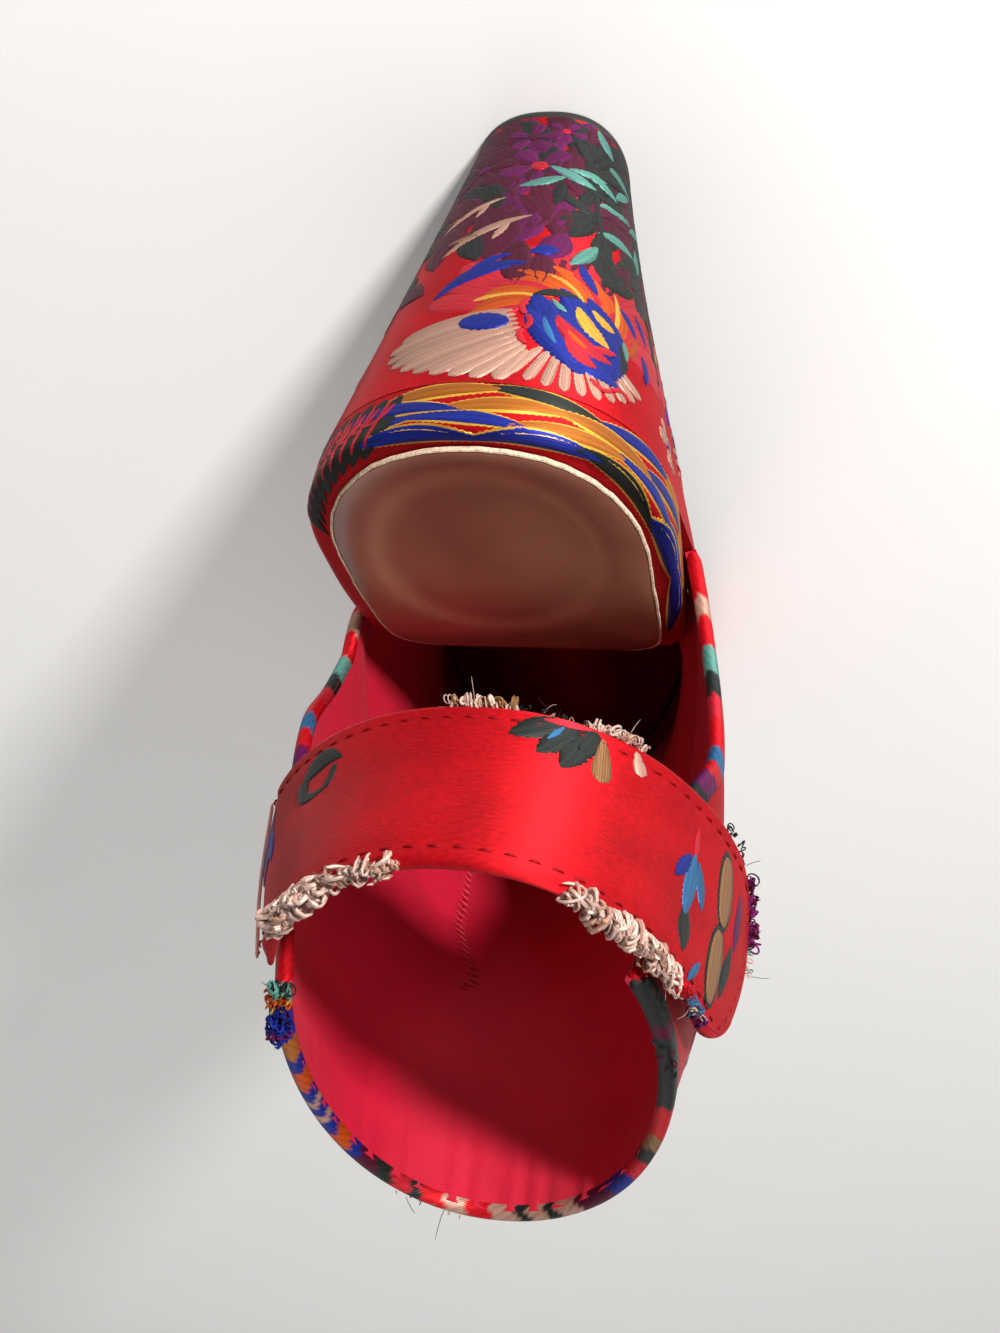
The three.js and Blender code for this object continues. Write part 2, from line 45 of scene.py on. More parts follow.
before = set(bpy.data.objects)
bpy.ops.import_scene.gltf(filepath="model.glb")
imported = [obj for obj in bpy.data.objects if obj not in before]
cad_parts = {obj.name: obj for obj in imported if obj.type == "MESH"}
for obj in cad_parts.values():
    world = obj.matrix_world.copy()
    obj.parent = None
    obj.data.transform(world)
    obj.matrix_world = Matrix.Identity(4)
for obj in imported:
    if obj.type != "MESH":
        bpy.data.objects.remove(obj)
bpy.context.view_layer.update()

# Sizes of the last and its pieces in millimetres: y = 0 at the back of the heel seat, z = 0 on the floor
SOLE_LENGTH = 212.0
SEAT_WIDTH = 62.0
SEAT_DEPTH = 33.0
SEAT_FULLNESS = 2.14
BALL_Y = 159.5
TOE_FULLNESS = 2.1
TOE_ROOM = 1.6
TOE_ROOM_RUN = 22.0
GAP = 0.3
WALL = 2.0
LEDGE = GAP + WALL
LEDGE_RUN = 8.0
BINDING_STEP = 0.4
OUTSOLE_THICKNESS = 3.5
OUTSOLE_EDGE = 0.6
RIM_RADIUS = 1.4
SOCK_THICKNESS = 1.2
SOCK_INSET = 4.4
SOCK_FRONT_Y = 90.0
SOCK_ROUND = 27.5
SOCK_ROUND_FULLNESS = 2.6
HEEL_FRONT_Y = 58.0
HEEL_TAPER = 1.06
TIP_X, TIP_Y, TIP_WIDTH, TIP_LENGTH, TIP_HEIGHT = -0.8, 25.8, 32.4, 36.0, 2.6
TIP_FULLNESS = (2.4, 6.0)
SEAT_OUTLINE_FULLNESS = (SEAT_FULLNESS, 14.0)
STRAP_THICKNESS = 2.4
STRAP_BOTTOM, STRAP_TOP = 146.0, 181.0
STRAP_SEWN_END, STRAP_TAB_END = 112.0, 86.0
TAB_ROUND, TAB_FULLNESS, TAB_END_SHARE = 12.0, 2.6, 0.3
TAB_FLARE, TAB_FLARE_LENGTH = 2.4, 32.0
QUARTER_OUTER, QUARTER_INNER = 44.0, 66.0
TOE_CLOSE_Y, TOE_CLOSE_FULLNESS = 180.0, 2.1
FRONT_FULLNESS = 2.1
UPPER_TOE = SOLE_LENGTH + LEDGE
STRAP_CROWN = 0.25
# Rows and columns of the surfaces
HEEL_ROWS, HEEL_COLUMNS = 48, 240
TOE_ROWS, FOOT_ROWS, ANKLE_ROWS, UPPER_COLUMNS = 30, 120, 70, 112
STRAP_SKIN_ROWS, STRAP_SKIN_COLUMNS = 24, 180
STRAP_MIDDLE_ROW = STRAP_SKIN_ROWS // 2
ANKLE_STEPS = 241
# Where the upper's first row lies behind the toe, and the shortest length that can be divided by
TOE_START = 1e-3
SHORTEST = 1e-12


class Curves:
    """Smooth monotone curves through a table: the first column is where, each other column is a value."""

    def __init__(self, columns, *rows):
        table = np.array(rows, float)
        where = table[:, 0]
        self.where = where
        self.value = {}
        self.slope = {}
        for name, values in zip(columns.split()[1:], table.T[1:]):
            chord = np.diff(values) / np.diff(where)
            before, after = chord[:-1], chord[1:]
            level = before * after <= 0
            inside = np.where(level, 0, 2 * before * after / np.where(level, 1, before + after))
            self.value[name] = values
            self.slope[name] = np.concatenate([chord[:1], inside, chord[-1:]])

    def __call__(self, name, at):
        at = np.asarray(at, float)
        values, slopes = self.value[name], self.slope[name]
        i = np.clip(np.searchsorted(self.where, at, side="right") - 1, 0, len(self.where) - 2)
        span = self.where[i + 1] - self.where[i]
        u = (at - self.where[i]) / span
        rise = values[i + 1] - values[i]
        bend = (slopes[i] * span - rise) * (1 - u) - (slopes[i + 1] * span - rise) * u
        return values[i] + u * rise + u * (1 - u) * bend


FOOTBED = Curves(
    "y z", (0, 107.7), (22, 103.26), (44, 98.8), (60, 93), (80, 79), (100, 58.5), (120, 34.8), (132, 20.8),
    (140, 13), (147, 8.6), (152, 7.8), (169, 7.8), (190, 10.4), (216, 16.5),
)
INSOLE = Curves("y thickness", (0, 10.6), (40, 10.6), (84, 4), (216, 4))
WAIST = Curves(
    "y half", (SEAT_DEPTH, SEAT_WIDTH / 2), (60, 30.2), (85, 26.8), (102, 26), (128, 29), (BALL_Y, 32.6)
)
MIDDLE = Curves(
    "y x", (0, 0), (20, 0), (40, -1), (60, -2), (85, -1.8), (105, -1), (140, 2.2), (165, 5.4), (190, 7.4),
    (216, 9),
)
INSTEP = Curves(
    "foot_y front_y front_z", (44, 111.5, 144), (66, 120.5, 127.5), (85, 129.5, 111.5), (106, 140, 93.5),
    (128, 151.5, 74), (150, 163.5, 56.5), (170, 177.5, 43), (190, 194, 32.5), (216, 216.5, 24),
)
SIDE_SWELL = Curves(
    "foot_y rise under fullness lean", (44, 30, 46, 3.2, 1.8), (55, 21, 37, 3, 0.8), (66, 15, 30, 2.6, 0),
    (85, 9.5, 24, 2.2, 0), (106, 7, 20, 2, 0), (216, 7, 20, 2, 0),
)


def bed_z(y):
    return FOOTBED("z", y)


def seat_z(y):
    """Underside of the insole."""
    return FOOTBED("z", y) - INSOLE("thickness", y)


def middle_x(y):
    return MIDDLE("x", y)


def closing(u, fullness):
    """Part of a superellipse: 1 at the start, 0 at the end of the range."""
    u = np.clip(u, 0, 1)
    return (1 - u**fullness) ** (1 / fullness)


def smooth(x, start, end):
    u = np.clip((np.asarray(x, float) - start) / (end - start), 0, 1)
    return u * u * (3 - 2 * u)


def sole_half(y, grow):
    """Half width of the sole's outline at y, grown outwards by an amount all round."""
    y, grow = np.broadcast_arrays(np.asarray(y, float), np.asarray(grow, float))
    heel = (SEAT_WIDTH / 2 + grow) * closing((SEAT_DEPTH - y) / (SEAT_DEPTH + grow), SEAT_FULLNESS)
    waist = WAIST("half", np.clip(y, SEAT_DEPTH, BALL_Y)) + grow
    front = SOLE_LENGTH - BALL_Y + grow
    toe = (WAIST("half", BALL_Y) + grow) * closing((y - BALL_Y) / front, TOE_FULLNESS)
    return np.where(y < SEAT_DEPTH, heel, np.where(y <= BALL_Y, waist, toe))


def bent(v, fullness):
    return np.sign(v) * np.abs(v) ** (2 / fullness)


def foot_section(foot_y):
    """Section of the last over the foot that meets the sole line at foot_y."""
    shut = float(closing((foot_y - TOE_CLOSE_Y) / (UPPER_TOE - TOE_CLOSE_Y), TOE_CLOSE_FULLNESS))
    base = np.array([foot_y, float(seat_z(foot_y))])
    top = np.array([float(INSTEP("front_y", foot_y)), float(INSTEP("front_z", foot_y))])
    up = (top - base) / np.linalg.norm(top - base)
    rise, under = float(SIDE_SWELL("rise", foot_y)), float(SIDE_SWELL("under", foot_y))
    fullness, lean = float(SIDE_SWELL("fullness", foot_y)), float(SIDE_SWELL("lean", foot_y))
    depth = rise / under
    centre = base + up * rise * shut
    return {
        "centre": centre,
        "front": base + (top - base) * shut,
        "back": centre - up * under * shut,
        "mid_x": float(middle_x(foot_y)) - lean,
        "half": float((sole_half(foot_y, LEDGE) - lean) / closing(depth, fullness)),
        "fullness": fullness,
        "base_angle": 90 + math.degrees(math.asin(depth ** (fullness / 2))),
    }


LAST_FOOT = foot_section(QUARTER_OUTER)
ANKLE = Curves(
    "s back_y back_z front_y front_z wide mid_x half fullness",
    (
        0, *LAST_FOOT["back"], *LAST_FOOT["front"],
        np.linalg.norm(LAST_FOOT["centre"] - LAST_FOOT["back"])
        / np.linalg.norm(LAST_FOOT["front"] - LAST_FOOT["back"]),
        LAST_FOOT["mid_x"], LAST_FOOT["half"], LAST_FOOT["fullness"],
    ),
    (0.3, 20, 112, 105.5, 157, 0.49, -4.6, 36.2, 2.5),
    (0.6, 22.6, 146, 100.5, 169, 0.5, -5.2, 34.6, 2.1),
    (1, 12.1, 181, 92.5, 192.5, 0.48, -7.2, 28.1, 2.1),
)
QUARTER_EDGE = Curves(
    "s outer inner", (0, LAST_FOOT["base_angle"], 94), (0.12, 106, 96), (0.3, 103, 103), (0.55, 119, 109),
    (1, 122, 112),
)


def ankle_section(s):
    """Ring of the last round the ankle, s from 0 at the end of the outer quarter to 1 at the collar."""
    back = np.array([float(ANKLE("back_y", s)), float(ANKLE("back_z", s))])
    front = np.array([float(ANKLE("front_y", s)), float(ANKLE("front_z", s))])
    return {
        "centre": back + (front - back) * float(ANKLE("wide", s)),
        "front": front,
        "back": back,
        "mid_x": float(ANKLE("mid_x", s)),
        "half": float(ANKLE("half", s)),
        "fullness": float(ANKLE("fullness", s)),
    }


def on_section(section, degrees):
    """Points of a section at angles from its front point: negative on the outer side, 180 at the back."""
    degrees = np.asarray(degrees, float)
    angle = np.radians(degrees)
    forward = np.abs(degrees) <= 90
    fullness = np.where(forward, FRONT_FULLNESS, section["fullness"])
    share = np.abs(np.cos(angle)) ** (2 / fullness)
    end = np.where(forward[..., None], section["front"], section["back"])
    place = section["centre"] + (end - section["centre"]) * share[..., None]
    x = section["mid_x"] + section["half"] * bent(np.sin(angle), fullness)
    return np.concatenate([x[..., None], place], axis=-1)


def unit(vectors):
    return vectors / np.maximum(np.linalg.norm(vectors, axis=-1, keepdims=True), SHORTEST)


def grid_normals(points):
    """Outward normals of a grid whose columns turn to the right as its rows go up, seen from outside."""
    across = np.gradient(points, axis=1)
    along = np.gradient(points, axis=0)
    return unit(np.cross(across, along))


def lengths(points, axis):
    """Running length along one axis of a grid of points."""
    steps = np.linalg.norm(np.diff(points, axis=axis), axis=-1)
    return np.concatenate([np.zeros_like(np.take(steps, [0], axis)), np.cumsum(steps, axis=axis)], axis=axis)


def looped(rows, axis=0):
    """Rows with the first one repeated at the end."""
    return np.concatenate([rows, np.take(rows, [0], axis)], axis=axis)


class Skin:
    """Surface as a grid of points, found again by (u, v) in millimetres: u along a row, v from row to row."""

    def __init__(self, points, zero_column, outward=1.0):
        self.points = points
        self.normals = outward * grid_normals(points)
        self.u = lengths(points, 1)
        self.u = self.u - self.u[:, zero_column : zero_column + 1]
        self.v = lengths(points, 0)[:, zero_column]

    def uv(self):
        """Coordinates of the whole grid."""
        return np.stack([self.u, np.broadcast_to(self.v[:, None], self.u.shape)], axis=-1)

    def at(self, u, v):
        """Points and normals at (u, v)."""
        u, v = np.broadcast_arrays(np.asarray(u, float), np.asarray(v, float))
        both = np.concatenate([self.points, self.normals], axis=-1)
        row = np.interp(v, self.v, np.arange(len(self.v)))
        low = np.clip(row.astype(int), 0, len(self.v) - 2)
        part = (row - low)[..., None]
        found = []
        for k in (low, low + 1):
            column = np.empty(u.shape)
            for r in np.unique(k):
                here = k == r
                column[here] = np.interp(u[here], self.u[r], np.arange(self.u.shape[1]))
            j = np.clip(column.astype(int), 0, self.u.shape[1] - 2)
            side = (column - j)[..., None]
            found.append(both[k, j] * (1 - side) + both[k, j + 1] * side)
        mixed = found[0] * (1 - part) + found[1] * part
        return mixed[..., :3], unit(mixed[..., 3:])


def ledge(y, side):
    """Extra width under the upper's lower edge, growing in behind the end of each quarter."""
    start = np.where(np.asarray(side) < 0, QUARTER_OUTER, QUARTER_INNER)
    return smooth(y, start - LEDGE_RUN, start)


def d_shape(x, back_y, wide_y, front_y, half, fullness, turn):
    """Outline with a round back and a straight front, at angles from the back, positive to the inner side."""
    across, along = np.sin(turn), -np.cos(turn)
    full = np.where(along < 0, fullness[0], fullness[1])
    depth = np.where(along < 0, wide_y - back_y, front_y - wide_y)
    return np.stack([x + half * bent(across, full), wide_y + depth * bent(along, full)], axis=-1)


def heel_outlines(turn):
    """Outlines of the heel: at the tip, and at the seat with the ledge under the upper."""
    tip_back, tip_front = TIP_Y - TIP_LENGTH / 2, TIP_Y + TIP_LENGTH / 2
    tip = d_shape(TIP_X, tip_back, TIP_Y, tip_front, TIP_WIDTH / 2, TIP_FULLNESS, turn)
    seat = d_shape(0, 0, SEAT_DEPTH, HEEL_FRONT_Y, SEAT_WIDTH / 2, SEAT_OUTLINE_FULLNESS, turn)
    side = np.sign(seat[:, 0])
    y = np.maximum(seat[:, 1], SEAT_DEPTH)
    narrow = WAIST("half", y) / (SEAT_WIDTH / 2)
    step = side * LEDGE * ledge(seat[:, 1], side) * np.abs(seat[:, 0]) / (SEAT_WIDTH / 2)
    seat[:, 0] = middle_x(seat[:, 1]) + seat[:, 0] * narrow + step
    return tip, seat


@lru_cache(None)
def heel_surface():
    """Side of the block heel from its bottom edge to the seat, with u = 0 down the middle of the back."""
    turn = np.linspace(-math.pi, math.pi, HEEL_COLUMNS + 1)
    tip, seat = heel_outlines(turn)
    height = np.linspace(0, 1, HEEL_ROWS + 1)[:, None]
    bottom = TIP_HEIGHT + GAP
    taper = height**HEEL_TAPER
    x = tip[:, 0] + (seat[:, 0] - tip[:, 0]) * taper
    y = tip[:, 1] + (seat[:, 1] - tip[:, 1]) * taper
    z = bottom + (seat_z(seat[:, 1]) - GAP - bottom) * height
    return Skin(np.stack([x, y, z], axis=-1), HEEL_COLUMNS // 2)


@lru_cache(None)
def upper_rows():
    """Sections of the upper from the tip of the toe to the collar, with the angles of their two edges."""
    toe = TOE_CLOSE_Y + (UPPER_TOE - TOE_CLOSE_Y) * np.sin(np.linspace(math.pi / 2, 0, TOE_ROWS)[1:])
    behind = np.linspace(TOE_CLOSE_Y, QUARTER_OUTER, FOOT_ROWS)[1:-1]
    rows = []
    for y in np.concatenate([[UPPER_TOE - TOE_START], toe, behind]):
        section = foot_section(y)
        share = float(smooth(y, QUARTER_OUTER, QUARTER_INNER))
        inner = float(QUARTER_EDGE("inner", 0)) * (1 - share) + section["base_angle"] * share
        rows.append((section, inner, section["base_angle"], y))
    for s in np.linspace(0, 1, ANKLE_ROWS):
        inner, outer = float(QUARTER_EDGE("inner", s)), float(QUARTER_EDGE("outer", s))
        rows.append((ankle_section(s), inner, outer, None))
    return rows


@lru_cache(None)
def upper_surface():
    """Outside of the upper, with u = 0 along the front line and u growing to the inner side."""
    share = np.linspace(0, 1, UPPER_COLUMNS + 1)
    rows = upper_rows()
    grid = np.array([on_section(sec, -outer + (inner + outer) * share) for sec, inner, outer, _ in rows])
    surface = Skin(grid, UPPER_COLUMNS // 2, -1)
    surface.normals[0] = (0, 1, 0)
    return surface


def on_ankle(degrees, z, outwards):
    """Places on the ankle's skin at angles and heights, moved outwards along the skin's normal."""
    steps = np.linspace(0, 1, ANKLE_STEPS)
    turn = np.asarray(degrees, float)
    rings = np.array([on_section(ankle_section(s), turn) for s in steps])
    before = np.array([on_section(ankle_section(s), turn - 1) for s in steps])
    after = np.array([on_section(ankle_section(s), turn + 1) for s in steps])
    up = np.gradient(rings, axis=0)
    normal = unit(np.cross(up, after - before))
    out = np.empty(turn.shape + (3,))
    for i in range(turn.size):
        place = np.interp(z[i], rings[:, i, 2], np.arange(len(steps)))
        low = min(int(place), len(steps) - 2)
        part = place - low
        p = rings[low, i] * (1 - part) + rings[low + 1, i] * part
        n = normal[low, i] * (1 - part) + normal[low + 1, i] * part
        out[i] = p + n / np.linalg.norm(n) * outwards[i]
    return out


def strap_run(around):
    """Strap at shares of its way round: angle, length so far, length to go, width share, flare of the tab."""
    turn = (STRAP_SEWN_END + around * (360 - STRAP_TAB_END - STRAP_SEWN_END) + 180) % 360 - 180
    middle = np.full(turn.shape, (STRAP_BOTTOM + STRAP_TOP) / 2)
    along = lengths(on_ankle(turn, middle, np.zeros_like(middle)), 0)
    to_end = along[-1] - along
    width = np.maximum(TAB_END_SHARE, closing(1 - to_end / TAB_ROUND, TAB_FULLNESS))
    flare = TAB_FLARE * np.maximum(0, 1 - to_end / TAB_FLARE_LENGTH) ** 2
    return turn, along, to_end, width, flare


def strap_level(share, width):
    """Height of a line along the strap, which draws in to the middle where the tab is round."""
    return STRAP_BOTTOM + (STRAP_TOP - STRAP_BOTTOM) * (0.5 + (share - 0.5) * width)


@lru_cache(None)
def strap_surface():
    """Face of the strap; u runs from the sewn inner end round the back to the tab, v goes up."""
    turn, _, _, width, flare = strap_run(np.linspace(0, 1, STRAP_SKIN_COLUMNS + 1))
    out = GAP + BINDING_STEP + STRAP_THICKNESS + flare
    grid = []
    for share in np.linspace(0, 1, STRAP_SKIN_ROWS + 1):
        grid.append(on_ankle(turn, strap_level(share, width), out + STRAP_CROWN * math.sin(math.pi * share)))
    return Skin(np.array(grid), STRAP_SKIN_COLUMNS // 2, -1)


# Shoe coordinates to the frame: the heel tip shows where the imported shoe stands
MM = 0.001
TIP_LOW, TIP_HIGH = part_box("heel_tip")
SHIFT = np.array([
    (TIP_LOW.x + TIP_HIGH.x) / 2 / MM - TIP_X,
    (TIP_LOW.y + TIP_HIGH.y) / 2 / MM - TIP_Y,
    TIP_LOW.z / MM,
])


def placed(points):
    """Points of the shoe in millimetres as metres in the frame."""
    return (np.asarray(points, float) + SHIFT) * MM


def linear(code):
    """Linear colour of a hexadecimal screen colour."""
    parts = [int(code[i : i + 2], 16) / 255 for i in (0, 2, 4)]
    return tuple(c / 12.92 if c <= 0.04045 else ((c + 0.055) / 1.055) ** 2.4 for c in parts)


def hue(name, description, code):
    """Colour property with a screen colour as its default."""
    return bpy.props.FloatVectorProperty(
        name=name, description=description, subtype="COLOR", size=3, min=0, max=1, default=linear(code)
    )


def span(name, description, millimetres):
    """Length property, given in millimetres."""
    return bpy.props.FloatProperty(
        name=name, description=description, unit="LENGTH", min=0, default=millimetres * MM
    )


class ShoeCloth(bpy.types.PropertyGroup):
    """Satin ground, lining and leather."""

    ground: hue("Satin", "Red ground of the brocade", "c60d1a")
    ground_deep: hue("Satin shade", "Satin between its floats", "9c0812")
    lining: hue("Lining", "Crimson lining of the upper", "b6102d")
    leather: hue("Leather", "Heel sock", "94634c")
    # Painted reflection: this paler leather colour is laid as a ring round the pressed oval where its slope
    # would catch the light
    leather_painted_highlight: hue("Leather ring", "Painted ring of the heel sock", "b98a6a")
    leather_deep: hue("Leather shade", "Darker clouds of the heel sock", "7d4e3d")
    cut_edge: hue("Cut edge", "Raw edge of the heel sock", "d9bfa2")
    rubber: hue("Rubber", "Heel tip", "17130f")
    resin: hue("Sole", "Outsole", "2a1e19")
    weave: span("Weave", "Spacing of the satin floats", 0.55)
    pucker: span("Pucker", "Depth of the lining's folds under the collar", 0.45)
    press: span("Press", "Depth of the pressed oval in the heel sock", 0.7)


class ShoeThreads(bpy.types.PropertyGroup):
    """Colours and relief of the raised threads."""

    cream: hue("Cream", "Fan petals and loops", "b88f7c")
    royal: hue("Royal blue", "Flower core and leaves", "1a2986")
    orange: hue("Orange", "Flame leaves", "c14d10")
    gold: hue("Gold", "Long leaves of the rim", "ad651f")
    yellow: hue("Yellow", "Leaf edges", "d6a53c")
    rose: hue("Rose", "Pink-red petals", "bf2231")
    teal: hue("Teal", "Long leaves", "5a9488")
    leaf: hue("Leaf green", "Black-green leaves", "272c29")
    purple: hue("Purple", "Small blossoms", "661552")
    sky: hue("Sky blue", "Pale leaves", "2f6794")
    tan: hue("Tan", "Golden petals", "8f6742")
    wine: hue("Wine", "Dark petals", "54142e")
    bleached: hue("Bleached", "Frayed loops of the strap", "d6b7a9")
    relief: span("Relief", "Height of a raised petal above the satin", 0.1)
    tooth: span("Tooth", "Spacing of the stepped edge of a petal", 1.1)
    pitch: span("Thread", "Spacing of the threads in a petal", 0.42)


class ShoeSewing(bpy.types.PropertyGroup):
    """Stitch lines and frayed threads."""

    stitch: span("Stitch", "Length of one stitch", 2.1)
    step: span("Step", "From one stitch to the next", 3.3)
    inset: span("Inset", "Stitch line from the strap's edge", 2.6)
    thread: span("Thread", "Thickness of the sewing thread", 0.38)
    seed: bpy.props.IntProperty(name="Seed", description="Where the frayed threads lie", default=7)


class ShoeStage(bpy.types.PropertyGroup):
    """Floor, lights and camera."""

    floor: hue("Floor", "Pale floor", "f6f4f1")
    lens: bpy.props.FloatProperty(name="Lens", description="Focal length", default=41.75, unit="CAMERA")
    key: bpy.props.FloatProperty(name="Key", description="Light from behind", default=12.5, unit="POWER")
    fill: bpy.props.FloatProperty(name="Fill", description="Light from above", default=2.2, unit="POWER")


def cloth():
    return bpy.context.scene.shoe_cloth


def threads():
    return bpy.context.scene.shoe_threads


def sewing():
    return bpy.context.scene.shoe_sewing


class Wire:
    """A node's output that takes part in Python arithmetic by adding Math nodes."""

    def __init__(self, finish, socket):
        self.finish = finish
        self.socket = socket

    def maths(self, operation, *values):
        return self.finish.node("ShaderNodeMath", {"operation": operation}, dict(enumerate(values)))

    def __add__(self, other):
        return self.maths("ADD", self, other)

    def __sub__(self, other):
        return self.maths("SUBTRACT", self, other)

    def __rsub__(self, other):
        return self.maths("SUBTRACT", other, self)

    def __mul__(self, other):
        return self.maths("MULTIPLY", self, other)

    def __truediv__(self, other):
        return self.maths("DIVIDE", self, other)

    __radd__ = __add__
    __rmul__ = __mul__

    def wave(self):
        """Sine of the value, from 0 to 1."""
        return self.maths("SINE", self) * 0.5 + 0.5

    def above(self, start, end):
        """0 below start, 1 above end, smooth between."""
        settings = {"interpolation_type": "SMOOTHSTEP"}
        sockets = {"Value": self, "From Min": start, "From Max": end}
        return self.finish.node("ShaderNodeMapRange", settings, sockets)


class Finish:
    """Material under construction: a Principled shader and the nodes that feed it."""

    def __init__(self, name):
        self.material = bpy.data.materials.new(name)
        self.material.use_nodes = True
        self.tree = self.material.node_tree
        self.shader = self.tree.nodes["Principled BSDF"]

    def plug(self, socket, value):
        """Links a wire to a socket, or sets the socket's own value."""
        if isinstance(value, Wire):
            self.tree.links.new(value.socket, socket)
        elif hasattr(value, "__len__") and len(value) == 3 and socket.type == "RGBA":
            socket.default_value = (*value, 1)
        else:
            socket.default_value = value

    def node(self, kind, settings=None, sockets=None, output=0):
        """Adds a node: its settings first, then the values or links of its sockets."""
        node = self.tree.nodes.new(kind)
        for name, value in (settings or {}).items():
            setattr(node, name, value)
        for name, value in (sockets or {}).items():
            known = {s.identifier: s for s in node.inputs}
            socket = known[name] if name in known else node.inputs[name]
            self.plug(socket, value)
        outputs = {s.identifier: s for s in node.outputs}
        return Wire(self, outputs[output] if output in outputs else node.outputs[output])

    def mix(self, factor, low, high):
        """Colour between two colours."""
        sockets = {"Factor_Float": factor, "A_Color": low, "B_Color": high}
        return self.node("ShaderNodeMix", {"data_type": "RGBA"}, sockets, "Result_Color")

    def uv(self):
        """The piece's own coordinates in millimetres: along u, and along v."""
        vector = self.node("ShaderNodeUVMap", {"uv_map": "weave"})
        split = self.node("ShaderNodeSeparateXYZ", None, {"Vector": vector})
        return vector, split, Wire(self, split.socket.node.outputs["Y"])

    def stretched(self, vector, along, across, upwards=1.0):
        """Coordinates scaled differently along their axes."""
        sockets = {0: vector, 1: (along, across, upwards)}
        return self.node("ShaderNodeVectorMath", {"operation": "MULTIPLY"}, sockets)

    def noise(self, vector, scale, detail=2.0):
        return self.node("ShaderNodeTexNoise", None, {"Vector": vector, "Scale": scale, "Detail": detail})

    def place(self):
        """Object coordinates in millimetres."""
        here = self.node("ShaderNodeTexCoord", None, None, "Object")
        return self.stretched(here, 1 / MM, 1 / MM, 1 / MM)

    def bump(self, height, millimetres, strength=1.0):
        sockets = {"Height": height, "Distance": millimetres * MM, "Strength": strength}
        return self.node("ShaderNodeBump", None, sockets, "Normal")

    def done(self, **sockets):
        """Feeds the shader; underscores in a name stand for spaces."""
        for name, value in sockets.items():
            self.plug(self.shader.inputs[name.replace("_", " ")], value)
        return self.material


@lru_cache(None)
def satin(name, ground, deep, shine=0.63, metal=0.65, drawn=0.88):
    """Red satin: fine floats along the cloth and a highlight drawn out across them."""
    finish = Finish(name)
    vector, _, _ = finish.uv()
    floats = finish.noise(finish.stretched(vector, 0.9, 1 / (cloth().weave / MM)), 1.0, 3.0)
    cloudy = finish.noise(vector, 0.06, 2.0)
    base = finish.mix(floats.above(0.3, 0.7) * 0.55 + cloudy.above(0.35, 0.65) * 0.45, deep, ground)
    return finish.done(
        Base_Color=base,
        Roughness=shine + floats * 0.12,
        Metallic=metal,
        Normal=finish.bump(floats, 0.05, 0.8),
        Sheen_Weight=0.1,
        Sheen_Roughness=0.4,
        Sheen_Tint=(1.0, 0.3, 0.3, 1.0),
        Specular_IOR_Level=0.25,
        Anisotropic=drawn,
        Anisotropic_Rotation=0.25,
    )


def red_satin(name):
    """The brocade's red ground."""
    return satin(name, tuple(cloth().ground), tuple(cloth().ground_deep))


@lru_cache(None)
def thread_finish(name, slant=0.0):
    """Raised embroidery: the piece's own colours, with threads along each petal or slanting across it."""
    finish = Finish(name)
    vector, along, across = finish.uv()
    colour = finish.node("ShaderNodeVertexColor", {"layer_name": "threads"})
    turns = (across + along * slant) * (2 * math.pi / (threads().pitch / MM))
    strands = turns.wave()
    bundles = (turns * 0.31).wave()
    uneven = finish.noise(finish.stretched(vector, 0.5, 2.2), 1.0, 2.0)
    shade = finish.node(
        "ShaderNodeMix", {"data_type": "RGBA", "blend_type": "MULTIPLY"},
        {"Factor_Float": 1.0, "A_Color": colour, "B_Color": (0.5, 0.46, 0.46)}, "Result_Color",
    )
    height = strands * 0.4 + bundles * 0.3 + uneven * 0.3
    base = finish.mix(height, shade, colour)
    return finish.done(
        Base_Color=base,
        Roughness=0.42 + uneven * 0.2,
        Normal=finish.bump(height, 0.08, 0.8),
        Metallic=0.55,
        Specular_IOR_Level=0.2,
        Anisotropic=0.7,
        Anisotropic_Rotation=0.25,
    )


# Oval pressed into the heel sock: its middle and its half sizes
PRESS_X, PRESS_Y = 0.5, 34.0
PRESS_HALF_WIDTH, PRESS_HALF_LENGTH = 20.5, 25.0


@lru_cache(None)
def leather_finish():
    """Smooth glossy leather with a fine grain, faint darker clouds and a painted reflection: a paler ring
    round its oval.
    """
    finish = Finish("sock_leather")
    _, x, y = finish.uv()
    x, y = (x - PRESS_X) / PRESS_HALF_WIDTH, (y - PRESS_Y) / PRESS_HALF_LENGTH
    oval = x * x + y * y
    # Painted reflection: a band on the pressed oval's slope where the base colour turns paler
    ring = oval.above(0.55, 0.85) * (1 - oval.above(0.85, 1.15))
    place = finish.place()
    cells = {"Vector": place, "Scale": 1.6}
    grain = finish.node("ShaderNodeTexVoronoi", {"feature": "DISTANCE_TO_EDGE"}, cells)
    cloudy = finish.noise(place, 0.04, 2.0)
    base = finish.mix(cloudy.above(0.3, 0.72), cloth().leather_deep, cloth().leather)
    base = finish.mix(ring * 0.3, base, cloth().leather_painted_highlight)
    return finish.done(
        Base_Color=base,
        Roughness=0.32 + cloudy * 0.12,
        Normal=finish.bump(grain.above(0.0, 0.12), 0.03, 0.35),
        Coat_Weight=0.25,
        Coat_Roughness=0.25,
    )


@lru_cache(None)
def edge_finish():
    """Raw cut edge of the leather."""
    finish = Finish("cut_edge")
    fuzz = finish.noise(finish.place(), 1.8, 4.0)
    deep = tuple(c * 0.55 for c in cloth().cut_edge)
    return finish.done(
        Base_Color=finish.mix(fuzz.above(0.3, 0.62), deep, cloth().cut_edge),
        Roughness=0.85,
        Normal=finish.bump(fuzz, 0.15, 0.6),
    )


